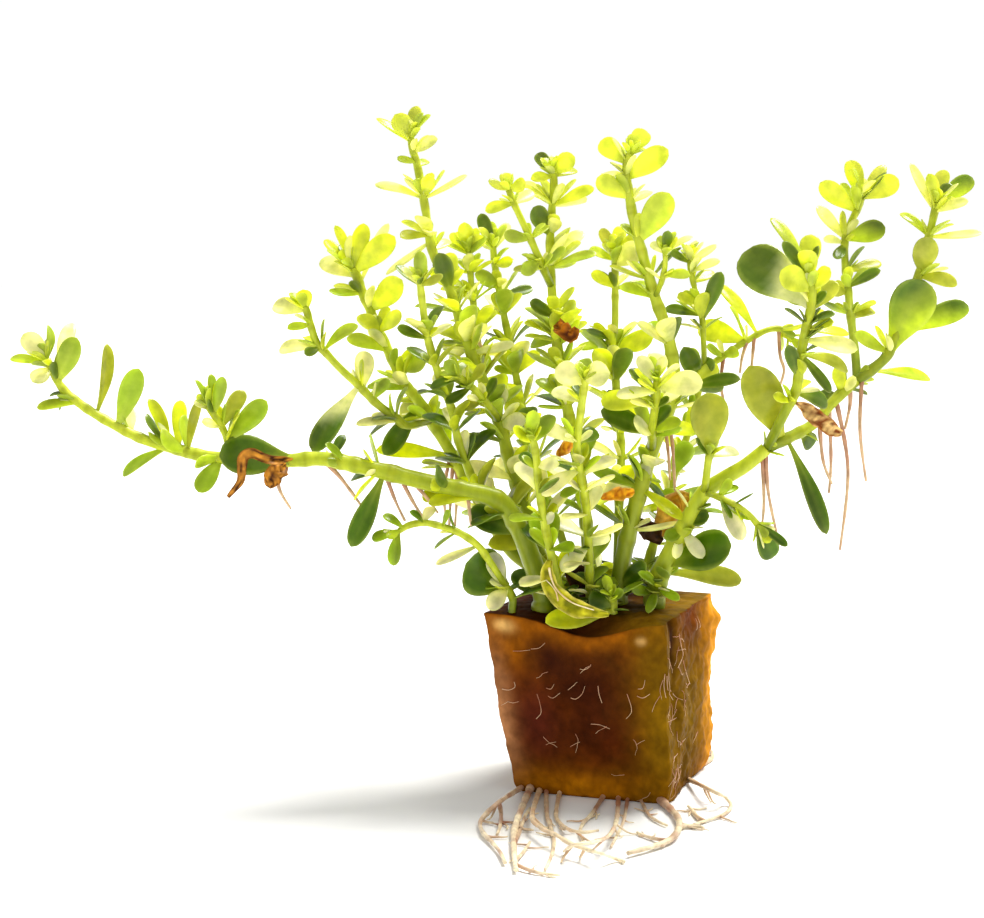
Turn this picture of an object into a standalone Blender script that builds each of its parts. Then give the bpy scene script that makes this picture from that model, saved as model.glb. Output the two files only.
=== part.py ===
"""A bacopa monnieri plug plant: a rockwool plug, the shoots that grow out of it, and the roots under it.

The plug stands on its flat underside at z = 0, with the origin in the middle of that face. X runs to the
right, Y away from the viewer, Z up. Shoots and roots follow routes chosen by hand on a reference picture:
each point is a column and a row of that picture, in pixels, with a real depth or height in millimetres, and
the functions seen, crown and laid turn it into a place in metres.
"""

import math

import bmesh
import bpy
from mathutils import Matrix, Vector, noise
from mathutils.bvhtree import BVHTree

MM = 0.001
GAP = 0.3 * MM

# The plug: the driving dimensions of the whole plant
PLUG_TOP = 37.5 * MM
PLUG_FOOT = 30.5 * MM
PLUG_HEIGHT = 37.5 * MM
PLUG_TURN = math.radians(-19.5)
PLUG_LEAN = -3.0 * MM
PLUG_CUTS = 4
PLUG_LUMP = 0.9 * MM
PLUG_FLARE = 0.45
PLUG_CORNER = 0.04
CORNER_START = 0.8
PLUG_LUMPS_PER_METRE = 90
RIM_DIP = 3.5 * MM

# The picture that the routes are drawn on: how far away it is seen from, from how high, and where the
# plug's foot shows in it. The plug's top is 181 pixels wide there, which gives the size of a pixel.
PLUG_TOP_PIXELS = 181
PIXEL = PLUG_TOP / PLUG_TOP_PIXELS
DISTANCE = 450 * MM
TILT = math.radians(6.5)
MIDDLE_COLUMN, MIDDLE_ROW = 492, 459
FOOT_COLUMN, FOOT_ROW = 614, 779
FRONT_EDGE_ROW = 803
ROOT_DROP_SHOWN = 0.65

RIGHT = Vector((1, 0, 0))
AHEAD = Vector((0, math.cos(TILT), -math.sin(TILT)))
UP = Vector((0, math.sin(TILT), math.cos(TILT)))
EYE = -(
    DISTANCE * AHEAD
    + (FOOT_COLUMN - MIDDLE_COLUMN) * PIXEL * RIGHT
    - (FOOT_ROW - MIDDLE_ROW) * PIXEL * UP
)

# Leaves and stems
STEM_SLACK = 0.75 * MM
UPRIGHT_START = 1.2 * MM
LEAF_THICK = 1.1 * MM
LEAF_SAG = 0.10
ROOT_SLACK = 0.5 * MM
ROOT_REST = 0.05 * MM
ROOT_TAPER = 0.3
ROOT_CLEAR = 1.6
ROOT_SHIFTS = (0, 1.5, -1.5, 3, -3)
HAIR_ROOT = 0.42 * MM
CLEARANCE = 0.35 * MM
SMALL_LEAF = 12.5 * MM
LARGE_OUTLINE = [(0, 0), (0.30, 0.60), (0.76, 1), (1, 0)]
SMALL_OUTLINE = [(0, 0), (0.64, 1), (1, 0)]
LARGE_SECTION = [(-1, 0.1), (0, 0.5), (1, 0.1), (0, -0.5)]
SMALL_SECTION = [(-1, 0.3), (1, 0.3), (0, -0.6)]
PAIR_WIDTH = 0.48
PAIR_LEAN = (68, 42)
BUD_LENGTH = 3.2 * MM
BUD_WIDTH = 2.4 * MM
BUD_AHEAD = 0.5 * MM
CURVE_PARTS = 12
WELD = 0.01 * MM
SHARP_EDGE = math.radians(50)
LINE_STEP = 1 * MM
THICK_STEM = 1.3 * MM
DEAD_STEP = 3 * MM
DEAD_ENDS = (0.06, 0.90)
BLADE_CORNERS = ((-1, 0.15), (0, 0.5), (1, 0.15), (0, -0.5))

# Small shifts that are tried in turn where two solids can't be joined just as they lie
NUDGE = 0.02 * MM
NUDGES = [(0, 0, 0), (1, 1, 1), (-1, 1, -1), (2, -1, 1), (-2, -2, 2), (3, 2, -3)]

# What a leaf may do to keep clear of other shoots: (share of its length, mm forward or back, degrees of roll)
# for one drawn by hand, and (share of its length, degrees round the stem) for one of a pair
DRAWN_CHANGES = [(1, 0, 0), (1, -2, 0), (1, 2, 0), (1, -4, 10), (1, 4, 10), (0.85, 0, 20), (0.85, -6, 0),
                 (0.85, 6, 0), (0.7, -3, 20), (0.7, 3, 20)]
PAIR_CHANGES = [(1, 0), (1, 20), (1, -20), (1, 40), (1, -40), (0.75, 0), (0.75, 30), (0.75, -30), (0.55, 0)]

GREEN = (0.36, 0.55, 0.07)
PLUG_BROWN = (0.22, 0.11, 0.03)
ROOT_CREAM = (0.72, 0.55, 0.38)
DEAD_BROWN = (0.38, 0.20, 0.06)

# Shoots that rise from the plug's top, and side shoots that fork off another. A route is (column, row,
# depth in mm); its width is in pixels, at the base and at the tip. Pairs are leaves that follow a rule:
# (first node and last node as shares of the length, number of nodes, leaf length in mm at the first node
# and at the last, turn of the first pair in degrees). A leaf drawn by hand is (column and row of its base,
# column and row of its tip, width in pixels, depth of the tip past its base in mm, roll in degrees).
SHOOTS = [
    {
        "name": "trailing_shoot",
        "crown": (543, -9),
        "route": [(537, 585, -9), (528, 550, -10), (517, 525, -11), (505, 506, -12), (488, 496, -13),
                  (460, 490, -14), (425, 482, -14), (385, 472, -14), (350, 464, -14), (320, 459, -13),
                  (285, 461, -13), (250, 459, -12), (210, 457, -11), (175, 449, -10), (140, 438, -10),
                  (105, 420, -9), (80, 404, -9), (62, 388, -9), (52, 370, -9), (47, 359, -9)],
        "width": (21, 7),
        "pairs": (0.17, 0.40, 3, 9, 8, 30),
        "leaves": [(45, 361, 25, 334, 20, -2, 10), (47, 360, 53, 325, 10, 2, 50),
                   (44, 364, 10, 353, 9, 1, 50), (48, 367, 33, 381, 16, -4, 20),
                   (58, 384, 75, 340, 22, -3, 10), (60, 380, 69, 318, 9, 5, 55),
                   (66, 392, 55, 408, 9, 3, 40), (78, 402, 37, 403, 8, -2, 60),
                   (96, 414, 113, 345, 12, 3, 50), (120, 427, 136, 372, 22, -3, 10),
                   (130, 433, 128, 405, 13, 4, 30), (170, 447, 155, 400, 14, -3, 30),
                   (176, 449, 180, 398, 13, 4, 30), (190, 454, 193, 402, 10, -4, 40),
                   (168, 447, 118, 470, 10, 2, 50), (222, 458, 198, 491, 18, -4, 20),
                   (296, 462, 222, 453, 40, -6, 20), (345, 461, 328, 443, 9, -3, 40),
                   (332, 459, 343, 432, 8, 3, 40), (383, 469, 350, 545, 20, -5, 15),
                   (385, 469, 348, 476, 11, 5, 40), (487, 492, 430, 496, 9, -4, 60),
                   (542, 598, 514, 570, 22, 4, 20)],
        "hair_roots": [[(385, 474), (395, 500), (405, 521)], [(398, 478), (412, 500), (425, 521)],
                       [(410, 478), (427, 498), (438, 513)], [(320, 462), (340, 477), (365, 511)],
                       [(467, 490), (469, 507), (471, 526)], [(275, 462), (279, 488), (291, 509)]],
    },
    {
        "name": "tall_left_shoot",
        "crown": (556, 3),
        "route": [(550, 585, 3), (541, 560, 3), (528, 515, 3), (515, 480, 4), (508, 455, 4), (502, 430, 5),
                  (493, 405, 6), (482, 378, 7), (470, 350, 8), (460, 320, 9), (452, 295, 10), (442, 272, 11),
                  (433, 252, 12), (429, 235, 12), (426, 212, 13), (422, 190, 13), (418, 168, 14),
                  (413, 150, 14), (411, 138, 14)],
        "width": (15, 7),
        "pairs": (0.20, 0.62, 7, 10, 9, 20),
        "leaves": [(411, 141, 378, 115, 8, 2, 50), (411, 138, 397, 116, 20, -3, 10),
                   (412, 138, 416, 104, 10, 3, 45), (413, 140, 428, 113, 6, -1, 60),
                   (415, 152, 433, 138, 12, -4, 30), (417, 164, 400, 157, 8, -3, 50),
                   (419, 166, 428, 158, 8, 4, 40), (422, 200, 376, 180, 8, 3, 60),
                   (424, 200, 466, 174, 8, -2, 60), (425, 195, 431, 177, 14, -6, 20),
                   (430, 240, 402, 234, 8, -6, 60), (430, 242, 382, 270, 10, 3, 50),
                   (434, 252, 451, 236, 9, 5, 40), (452, 290, 440, 256, 20, -4, 10),
                   (455, 292, 456, 262, 12, 4, 20), (512, 478, 465, 464, 14, -7, 40),
                   (500, 425, 518, 420, 18, -8, 10), (470, 350, 445, 352, 18, 6, 30),
                   (554, 598, 548, 556, 26, -5, 20), (472, 356, 513, 342, 10, -2, 40),
                   (495, 411, 503, 389, 14, -4, 20), (536, 546, 493, 540, 16, -8, 40)],
        "hair_roots": [[(461, 312), (472, 332), (487, 356)]],
    },
    {
        "name": "tall_left_side_shoot",
        "parent": "tall_left_shoot",
        "route": [(499, 420, 5), (488, 405, -1), (478, 393, -4), (467, 383, -6), (458, 376, -7)],
        "width": (8, 6),
        "pairs": (0.45, 0.75, 2, 5.5, 5, 10),
        "leaves": [(458, 377, 446, 362, 14, -2, 10), (462, 380, 431, 384, 7, -3, 50),
                   (465, 381, 461, 360, 9, 3, 30), (470, 386, 446, 402, 8, -4, 50),
                   (468, 384, 484, 364, 10, -2, 30)],
        "hair_roots": [],
    },
    {
        "name": "slim_left_shoot",
        "crown": (573, -3),
        "route": [(563, 590, -3), (545, 565, -3), (520, 535, -3), (495, 508, -3), (478, 490, -3),
                  (468, 468, -3), (458, 440, -4), (452, 410, -5), (442, 385, -6), (434, 360, -7),
                  (427, 335, -8), (422, 300, -9), (420, 281, -10)],
        "width": (9, 7),
        "pairs": (0.30, 0.86, 7, 10, 7, 50),
        "leaves": [(420, 284, 421, 253, 13, -2, 10), (419, 286, 397, 263, 8, 2, 50),
                   (421, 288, 441, 276, 10, -4, 30), (427, 340, 398, 327, 9, -4, 50),
                   (428, 342, 451, 322, 7, 3, 50), (516, 531, 470, 512, 28, -3, 15)],
        "hair_roots": [],
    },
    {
        "name": "leaning_left_shoot",
        "crown": (547, 12),
        "route": [(535, 580, 12), (515, 555, 12), (495, 528, 12), (475, 495, 12), (455, 460, 12),
                  (440, 435, 13), (420, 403, 14), (405, 385, 15), (397, 370, 16), (390, 355, 17),
                  (383, 340, 18), (375, 325, 19), (370, 310, 20), (363, 295, 21), (358, 280, 22),
                  (353, 268, 22)],
        "width": (14, 9),
        "pairs": (0.26, 0.80, 5, 9, 8, 70),
        "leaves": [(353, 270, 325, 238, 12, 2, 30), (354, 268, 340, 226, 10, -3, 30),
                   (355, 266, 364, 224, 19, -2, 10), (356, 270, 389, 238, 24, -5, 15),
                   (360, 285, 387, 221, 10, 6, 40), (370, 311, 399, 281, 26, -4, 15),
                   (354, 276, 319, 256, 20, 5, 20), (380, 332, 400, 313, 15, -6, 25),
                   (362, 295, 330, 290, 9, -4, 50), (389, 352, 350, 334, 12, -3, 45),
                   (397, 368, 425, 359, 20, -5, 20), (409, 390, 371, 382, 10, -5, 50),
                   (420, 406, 385, 452, 20, -10, 15), (418, 404, 396, 412, 17, 5, 20),
                   (452, 455, 432, 405, 24, 6, 15), (452, 456, 380, 444, 16, -4, 30)],
        "hair_roots": [[(455, 456), (451, 490), (449, 528)], [(458, 458), (457, 490), (455, 526)],
                       [(451, 454), (444, 490), (446, 520)]],
    },
    {
        "name": "low_left_side_shoot",
        "parent": "leaning_left_shoot",
        "route": [(430, 420, 13), (416, 424, 7), (405, 425, 5), (395, 417, 4), (385, 410, 4), (375, 402, 4),
                  (365, 392, 4), (355, 382, 4), (345, 373, 4), (335, 363, 4), (325, 352, 4), (318, 345, 4),
                  (312, 330, 4), (308, 315, 4), (305, 306, 4)],
        "width": (9, 7),
        "pairs": (0.24, 0.24, 1, 7, 7, 0),
        "leaves": [(305, 309, 303, 290, 16, -2, 10), (305, 312, 272, 303, 19, 3, 25),
                   (310, 325, 289, 326, 9, -3, 40), (320, 348, 277, 345, 13, 3, 40),
                   (319, 347, 305, 353, 9, -4, 30), (324, 350, 352, 322, 11, -3, 45),
                   (362, 389, 365, 350, 20, 3, 10), (358, 385, 312, 450, 24, -5, 15),
                   (400, 423, 357, 421, 10, -3, 50), (374, 401, 388, 378, 9, 4, 40)],
        "hair_roots": [],
    },
    {
        "name": "crown_front_shoot",
        "crown": (614, -13),
        "route": [(614, 610, -13), (613, 603, -13), (612, 596, -14)],
        "width": (7, 6),
        "pairs": None,
        "leaves": [(614, 608, 549, 617, 22, -4, 35), (613, 604, 590, 597, 22, -2, 15),
                   (613, 600, 622, 590, 9, -2, 30)],
        "hair_roots": [],
    },
    {
        "name": "low_front_shoot",
        "crown": (512, -11),
        "route": [(505, 590, -13), (500, 578, -14), (490, 562, -16), (480, 548, -17), (468, 538, -18),
                  (455, 531, -18), (440, 526, -18), (425, 523, -18), (410, 525, -18), (399, 531, -18)],
        "width": (8, 6),
        "pairs": (0.66, 0.66, 1, 5, 5, 0),
        "leaves": [(399, 532, 370, 537, 11, 2, 25), (398, 533, 392, 565, 13, -2, 20),
                   (402, 530, 386, 514, 9, -2, 40), (425, 524, 433, 505, 9, 3, 40),
                   (424, 524, 413, 511, 7, -3, 40), (441, 527, 448, 511, 8, -3, 40),
                   (479, 547, 436, 559, 8, -3, 50), (504, 590, 468, 563, 46, -3, 20),
                   (504, 590, 490, 606, 16, -6, 20), (502, 584, 490, 555, 20, -3, 20)],
        "hair_roots": [],
    },
    {
        "name": "middle_shoot",
        "crown": (598, 1),
        "route": [(594, 585, 1), (590, 565, 1), (586, 520, 2), (581, 480, 3), (575, 445, 4), (568, 410, 5),
                  (560, 370, 6), (556, 330, 7), (552, 290, 8), (550, 250, 9), (552, 210, 10), (554, 185, 10),
                  (553, 172, 10)],
        "width": (14, 7),
        "pairs": (0.20, 0.62, 6, 10, 9, 40),
        "leaves": [(553, 175, 537, 151, 13, 3, 20), (553, 174, 573, 157, 18, -4, 20),
                   (552, 178, 533, 176, 9, -3, 40), (554, 176, 577, 168, 10, 4, 40),
                   (552, 204, 590, 183, 10, -2, 50), (552, 205, 522, 181, 10, 3, 50),
                   (550, 238, 535, 209, 20, -4, 10), (551, 266, 582, 229, 13, 4, 40),
                   (551, 270, 592, 247, 9, -3, 55), (554, 318, 531, 302, 13, -5, 35),
                   (555, 318, 579, 303, 13, 5, 35), (557, 345, 528, 341, 14, 5, 30),
                   (557, 348, 578, 320, 9, -4, 40)],
        "hair_roots": [],
    },
    {
        "name": "middle_side_shoot",
        "parent": "middle_shoot",
        "route": [(551, 285, 8), (545, 272, 4), (538, 256, 2), (531, 240, 1), (524, 225, 0), (517, 210, 0),
                  (512, 199, 0), (509, 190, 0)],
        "width": (8, 6),
        "pairs": (0.20, 0.20, 1, 6, 6, 0),
        "leaves": [(509, 192, 505, 172, 14, 2, 10), (509, 191, 490, 180, 10, -2, 30),
                   (510, 192, 525, 182, 14, -2, 20), (515, 204, 486, 208, 10, -2, 40),
                   (514, 203, 533, 190, 12, 4, 30), (531, 240, 505, 234, 12, -3, 30),
                   (530, 238, 548, 222, 9, 4, 40), (540, 260, 524, 270, 14, -5, 20)],
        "hair_roots": [],
    },
    {
        "name": "back_left_shoot",
        "crown": (586, 10),
        "route": [(578, 590, 10), (570, 560, 11), (556, 520, 12), (545, 490, 14), (537, 460, 16),
                  (528, 430, 18), (520, 395, 20), (515, 370, 21), (510, 345, 22), (504, 315, 23),
                  (499, 290, 24), (495, 265, 25), (493, 246, 25)],
        "width": (9, 7),
        "pairs": (0.22, 0.80, 8, 10, 8, 10),
        "leaves": [(493, 250, 481, 213, 14, 2, 15), (493, 250, 508, 222, 10, 4, 40),
                   (495, 263, 512, 261, 11, -4, 30), (498, 290, 479, 274, 16, -4, 20),
                   (500, 296, 533, 285, 10, 3, 40)],
        "hair_roots": [],
    },
    {
        "name": "upper_left_side_shoot",
        "parent": "tall_left_shoot",
        "route": [(484, 382, 7), (480, 358, 14), (476, 325, 17), (472, 292, 18), (470, 268, 18),
                  (469, 250, 18)],
        "width": (8, 6),
        "pairs": (0.25, 0.82, 4, 8, 6, 30),
        "leaves": [(469, 253, 451, 232, 12, 2, 20), (469, 252, 465, 225, 16, -3, 10),
                   (470, 254, 484, 236, 11, -2, 30)],
        "hair_roots": [],
    },
    {
        "name": "front_shoot",
        "crown": (590, -11),
        "route": [(589, 590, -12), (588, 540, -15), (585, 500, -18), (580, 470, -20), (577, 445, -22),
                  (579, 425, -24), (583, 395, -26), (585, 378, -27)],
        "width": (9, 7),
        "pairs": (0.20, 0.62, 5, 9, 8, 60),
        "leaves": [(585, 381, 558, 368, 22, -2, 20), (585, 380, 606, 372, 23, -4, 20),
                   (585, 380, 585, 357, 14, 3, 10), (582, 400, 552, 388, 14, 4, 30),
                   (577, 446, 543, 424, 13, -2, 30), (577, 446, 598, 428, 14, 3, 30),
                   (580, 474, 542, 492, 14, -3, 35), (581, 476, 615, 456, 15, 3, 35),
                   (588, 543, 562, 568, 16, -3, 25), (588, 545, 609, 531, 14, 3, 25),
                   (582, 490, 561, 493, 8, -2, 40)],
        "hair_roots": [],
    },
    {
        "name": "inner_left_shoot",
        "crown": (562, -13),
        "route": [(558, 588, -14), (550, 550, -17), (543, 515, -20), (538, 480, -22), (536, 455, -24),
                  (532, 438, -25)],
        "width": (9, 7),
        "pairs": (0.18, 0.70, 4, 9, 8, 30),
        "leaves": [(536, 468, 557, 463, 14, -3, 25), (537, 470, 521, 450, 11, 3, 30),
                   (533, 442, 553, 415, 17, 2, 20), (533, 441, 514, 428, 12, -3, 30),
                   (532, 440, 533, 412, 13, -2, 15), (550, 550, 541, 508, 30, 3, 10),
                   (541, 530, 552, 515, 9, -3, 20)],
        "hair_roots": [],
    },
    {
        "name": "back_right_shoot",
        "crown": (641, 9),
        "route": [(644, 588, 9), (652, 550, 12), (664, 505, 17), (676, 470, 22), (686, 440, 27),
                  (694, 410, 31), (700, 387, 34)],
        "width": (10, 7),
        "pairs": (0.22, 0.86, 7, 10, 8, 0),
        "leaves": [(700, 390, 716, 368, 12, -3, 20), (700, 390, 684, 372, 12, 3, 25)],
        "hair_roots": [],
    },
    {
        "name": "back_shoot",
        "crown": (617, 12),
        "route": [(617, 585, 12), (618, 540, 15), (619, 500, 18), (621, 460, 21), (620, 430, 24),
                  (617, 400, 27), (614, 350, 31), (615, 320, 33), (615, 290, 34), (615, 264, 35),
                  (615, 252, 35)],
        "width": (10, 7),
        "pairs": (0.20, 0.70, 7, 10, 9, 15),
        "leaves": [(615, 255, 602, 227, 12, 2, 20), (615, 254, 621, 225, 14, 3, 20),
                   (615, 254, 637, 235, 13, -3, 20), (615, 264, 641, 246, 22, -4, 25),
                   (615, 262, 591, 248, 9, -3, 50), (615, 287, 594, 272, 12, -3, 40),
                   (615, 290, 649, 283, 11, 3, 40), (614, 350, 650, 337, 24, -5, 20),
                   (614, 345, 577, 346, 9, 3, 50), (614, 345, 588, 329, 7, -4, 50),
                   (615, 376, 598, 352, 20, -6, 15)],
        "hair_roots": [],
    },
    {
        "name": "tall_middle_shoot",
        "crown": (618, -4),
        "route": [(620, 590, -4), (622, 565, -4), (627, 540, -4), (636, 505, -5), (644, 475, -5),
                  (652, 450, -5), (662, 425, -5), (672, 400, -4), (674, 375, -3), (671, 350, -2),
                  (665, 325, -2), (656, 300, -1), (647, 270, 0), (640, 245, 0), (634, 222, 1), (630, 200, 1),
                  (627, 180, 2), (627, 165, 2), (630, 154, 2)],
        "width": (18, 8),
        "pairs": (0.16, 0.72, 5, 10, 9, 0),
        "leaves": [(627, 165, 600, 139, 20, 2, 10), (630, 155, 646, 129, 19, 2, 10),
                   (627, 178, 665, 150, 23, -4, 10), (629, 198, 598, 178, 19, -4, 15),
                   (639, 240, 668, 194, 28, -4, 5), (631, 205, 651, 189, 7, 3, 60),
                   (627, 180, 602, 170, 7, 4, 60), (638, 240, 622, 222, 9, 4, 40),
                   (656, 300, 620, 284, 12, 3, 40), (640, 487, 592, 466, 12, -3, 40),
                   (640, 488, 600, 490, 16, 4, 40), (640, 484, 635, 457, 8, -4, 40),
                   (645, 480, 671, 502, 9, 2, 50), (642, 490, 682, 517, 10, -5, 50),
                   (670, 345, 640, 322, 12, -4, 40), (621, 580, 598, 590, 18, -8, 15),
                   (620, 590, 641, 566, 18, -8, 20), (619, 594, 604, 560, 16, 5, 20)],
        "hair_roots": [[(668, 410), (672, 440), (675, 491)], [(664, 418), (668, 450), (670, 480)]],
    },
    {
        "name": "thin_top_side_shoot",
        "parent": "tall_middle_shoot",
        "route": [(655, 297, -1), (661, 283, -5), (665, 266, -7), (665, 254, -8)],
        "width": (6, 5),
        "pairs": (0.45, 0.45, 1, 4, 4, 0),
        "leaves": [(665, 255, 668, 231, 10, -2, 15), (665, 256, 651, 242, 8, 2, 30),
                   (665, 256, 690, 234, 8, -1, 45), (663, 276, 688, 272, 9, -3, 40)],
        "hair_roots": [],
    },
    {
        "name": "front_right_side_shoot",
        "parent": "tall_middle_shoot",
        "route": [(652, 450, -5), (652, 432, -11), (654, 415, -14), (656, 400, -16), (657, 388, -17),
                  (657, 379, -18)],
        "width": (9, 7),
        "pairs": (0.60, 0.60, 1, 6, 6, 20),
        "leaves": [(657, 381, 657, 350, 20, 2, 10), (657, 383, 641, 357, 13, -3, 25),
                   (657, 388, 701, 380, 23, -3, 20), (656, 391, 619, 391, 11, -3, 40),
                   (655, 400, 600, 399, 19, 3, 25), (652, 433, 606, 410, 23, -4, 15),
                   (652, 434, 681, 428, 9, -3, 50), (653, 430, 697, 425, 14, 4, 40)],
        "hair_roots": [],
    },
    {
        "name": "arching_side_shoot",
        "parent": "tall_middle_shoot",
        "route": [(672, 402, -4), (690, 388, 3), (705, 370, 7), (722, 357, 9), (745, 342, 11), (765, 331, 12),
                  (780, 329, 13), (790, 337, 13)],
        "width": (8, 6),
        "pairs": (0.92, 0.92, 1, 5, 5, 30),
        "leaves": [(745, 341, 698, 325, 24, 3, 15), (757, 334, 722, 280, 12, 4, 40),
                   (699, 377, 687, 352, 20, -4, 10), (692, 386, 736, 376, 15, -6, 30),
                   (722, 357, 708, 346, 9, -5, 40)],
        "hair_roots": [[(722, 357), (721, 385), (726, 410)], [(747, 341), (742, 358), (740, 373)],
                       [(752, 338), (751, 374)], [(778, 330), (780, 355), (784, 370), (780, 386)]],
    },
    {
        "name": "upper_right_side_shoot",
        "parent": "arching_side_shoot",
        "route": [(703, 372, 7), (704, 355, 2), (703, 335, 0), (702, 318, 0), (698, 300, 0), (693, 282, 0),
                  (690, 268, 0), (690, 258, 0)],
        "width": (6, 5),
        "pairs": (0.40, 0.40, 1, 5, 5, 0),
        "leaves": [(690, 260, 690, 243, 11, 2, 10), (690, 262, 671, 249, 9, -2, 30),
                   (690, 264, 716, 243, 8, 2, 45), (691, 272, 717, 258, 8, -3, 45),
                   (693, 283, 714, 270, 12, 4, 25), (702, 319, 720, 273, 16, -3, 10),
                   (700, 316, 665, 304, 9, 3, 50), (698, 300, 680, 297, 13, -4, 25)],
        "hair_roots": [],
    },
    {
        "name": "right_branch",
        "crown": (655, -7),
        "route": [(657, 588, -7), (662, 570, -8), (675, 545, -9), (690, 517, -10), (704, 493, -11),
                  (725, 478, -12), (745, 466, -12), (766, 449, -12)],
        "width": (20, 13),
        "pairs": (0.52, 0.52, 1, 6, 6, 0),
        "leaves": [(666, 566, 728, 543, 38, -7, 30), (664, 572, 744, 577, 19, 5, 30),
                   (658, 592, 636, 588, 10, -6, 30), (658, 592, 650, 607, 9, -9, 30),
                   (660, 586, 676, 596, 9, -7, 30), (660, 585, 646, 574, 9, -7, 30),
                   (684, 533, 667, 536, 12, -4, 30), (690, 522, 708, 516, 16, -4, 20),
                   (686, 530, 702, 556, 14, -5, 20), (684, 534, 676, 558, 9, -4, 30)],
        "hair_roots": [[(766, 452), (768, 490), (777, 535)], [(762, 454), (764, 500), (762, 526)]],
    },
    {
        "name": "big_leaf_arm",
        "parent": "right_branch",
        "route": [(704, 493, -11), (706, 478, -15), (708, 462, -16), (710, 452, -16)],
        "width": (8, 7),
        "pairs": None,
        "leaves": [(710, 454, 708, 395, 38, -3, 10), (709, 458, 697, 438, 7, -3, 40),
                   (710, 456, 740, 446, 12, 4, 40)],
        "hair_roots": [],
    },
    {
        "name": "low_right_side_shoot",
        "parent": "right_branch",
        "route": [(706, 493, -11), (718, 497, -18), (735, 505, -20), (748, 514, -21), (757, 524, -21)],
        "width": (6, 6),
        "pairs": (0.55, 0.55, 1, 5, 5, 20),
        "leaves": [(757, 525, 775, 561, 21, 2, 10), (757, 525, 788, 545, 8, -2, 40),
                   (722, 499, 743, 537, 16, -5, 20), (720, 498, 738, 484, 8, 4, 40)],
        "hair_roots": [],
    },
    {
        "name": "right_front_shoot",
        "parent": "right_branch",
        "route": [(768, 447, -12), (779, 424, -16), (789, 405, -18), (796, 390, -19), (799, 372, -20),
                  (801, 355, -21), (804, 340, -22), (807, 325, -23), (811, 308, -24), (812, 290, -24),
                  (809, 275, -24)],
        "width": (10, 8),
        "pairs": (0.72, 0.72, 1, 6, 6, 0),
        "leaves": [(809, 276, 777, 213, 10, 3, 45), (809, 277, 811, 233, 20, 3, 10),
                   (809, 278, 786, 242, 12, -2, 20), (811, 290, 783, 271, 23, -4, 15),
                   (812, 290, 829, 268, 15, -3, 20), (811, 312, 836, 280, 15, 3, 30),
                   (811, 306, 786, 291, 13, 4, 30), (811, 305, 742, 251, 47, 6, 10),
                   (806, 333, 850, 330, 9, 4, 50), (805, 341, 856, 344, 14, -4, 35),
                   (802, 354, 853, 365, 13, 4, 40), (801, 357, 833, 389, 10, -3, 40),
                   (798, 380, 790, 347, 13, -4, 15), (795, 393, 831, 402, 15, 4, 30),
                   (790, 402, 775, 395, 9, -4, 30)],
        "hair_roots": [],
    },
    {
        "name": "right_end_branch",
        "parent": "right_branch",
        "route": [(769, 447, -12), (790, 437, -11), (812, 425, -10), (830, 405, -9), (845, 390, -8),
                  (857, 381, -7)],
        "width": (11, 10),
        "pairs": (0.85, 0.85, 1, 4.5, 4.5, 0),
        "leaves": [(782, 441, 754, 371, 37, -7, 15), (786, 440, 831, 531, 13, -6, 40),
                   (800, 431, 815, 446, 17, 4, 20), (842, 393, 838, 370, 13, -4, 10),
                   (838, 398, 812, 398, 16, 5, 30)],
        "hair_roots": [[(818, 418), (823, 460), (832, 484)], [(834, 402), (848, 470), (840, 550)],
                       [(828, 408), (831, 460), (829, 493)], [(851, 386), (850, 405), (845, 429)]],
    },
    {
        "name": "right_top_shoot",
        "parent": "right_end_branch",
        "route": [(857, 380, -7), (855, 352, -3), (851, 320, 2), (848, 290, 7), (845, 262, 11),
                  (845, 240, 14), (851, 222, 16), (858, 208, 17), (861, 198, 17)],
        "width": (9, 7),
        "pairs": (0.35, 0.35, 1, 6, 6, 0),
        "leaves": [(857, 210, 822, 183, 20, -2, 10), (861, 200, 850, 159, 19, 2, 10),
                   (861, 200, 898, 179, 22, -3, 10), (861, 202, 885, 162, 13, 4, 20),
                   (846, 238, 883, 226, 21, -4, 20), (845, 240, 819, 204, 12, 3, 40),
                   (847, 270, 882, 258, 11, 3, 40), (848, 286, 877, 268, 10, -4, 40),
                   (851, 318, 875, 307, 11, 3, 40), (848, 292, 831, 288, 12, -4, 30),
                   (845, 244, 838, 256, 12, -5, 20)],
        "hair_roots": [],
    },
    {
        "name": "far_right_shoot",
        "parent": "right_end_branch",
        "route": [(858, 380, -7), (874, 368, -8), (886, 357, -8), (894, 342, -8), (902, 320, -8),
                  (912, 295, -8), (921, 268, -8), (928, 240, -8), (934, 215, -8), (937, 202, -8)],
        "width": (11, 7),
        "pairs": (0.62, 0.62, 1, 6, 6, 30),
        "leaves": [(890, 352, 923, 281, 43, -5, 5), (897, 334, 973, 298, 22, 6, 20),
                   (888, 354, 858, 332, 13, -3, 35), (872, 370, 936, 371, 12, 5, 40),
                   (937, 203, 944, 168, 15, 3, 15), (937, 204, 930, 176, 12, -3, 20),
                   (936, 206, 973, 175, 18, 3, 20), (935, 213, 912, 162, 8, 4, 50),
                   (935, 213, 966, 199, 11, -4, 40), (929, 238, 902, 210, 8, 3, 45),
                   (929, 238, 981, 230, 9, -3, 45), (920, 272, 929, 240, 23, -5, 15),
                   (919, 276, 956, 280, 11, -4, 45)],
        "hair_roots": [[(861, 377), (860, 430), (866, 481)]],
    },
    {
        "name": "upright_left_shoot",
        "parent": "trailing_shoot",
        "route": [(232, 459, -12), (228, 442, -15), (222, 427, -16), (214, 415, -17), (208, 406, -17)],
        "width": (7, 6),
        "pairs": None,
        "leaves": [(208, 407, 200, 380, 8, -2, 40), (209, 408, 213, 374, 8, 2, 40),
                   (213, 413, 222, 378, 12, -3, 20), (211, 411, 195, 399, 11, 3, 30),
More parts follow.
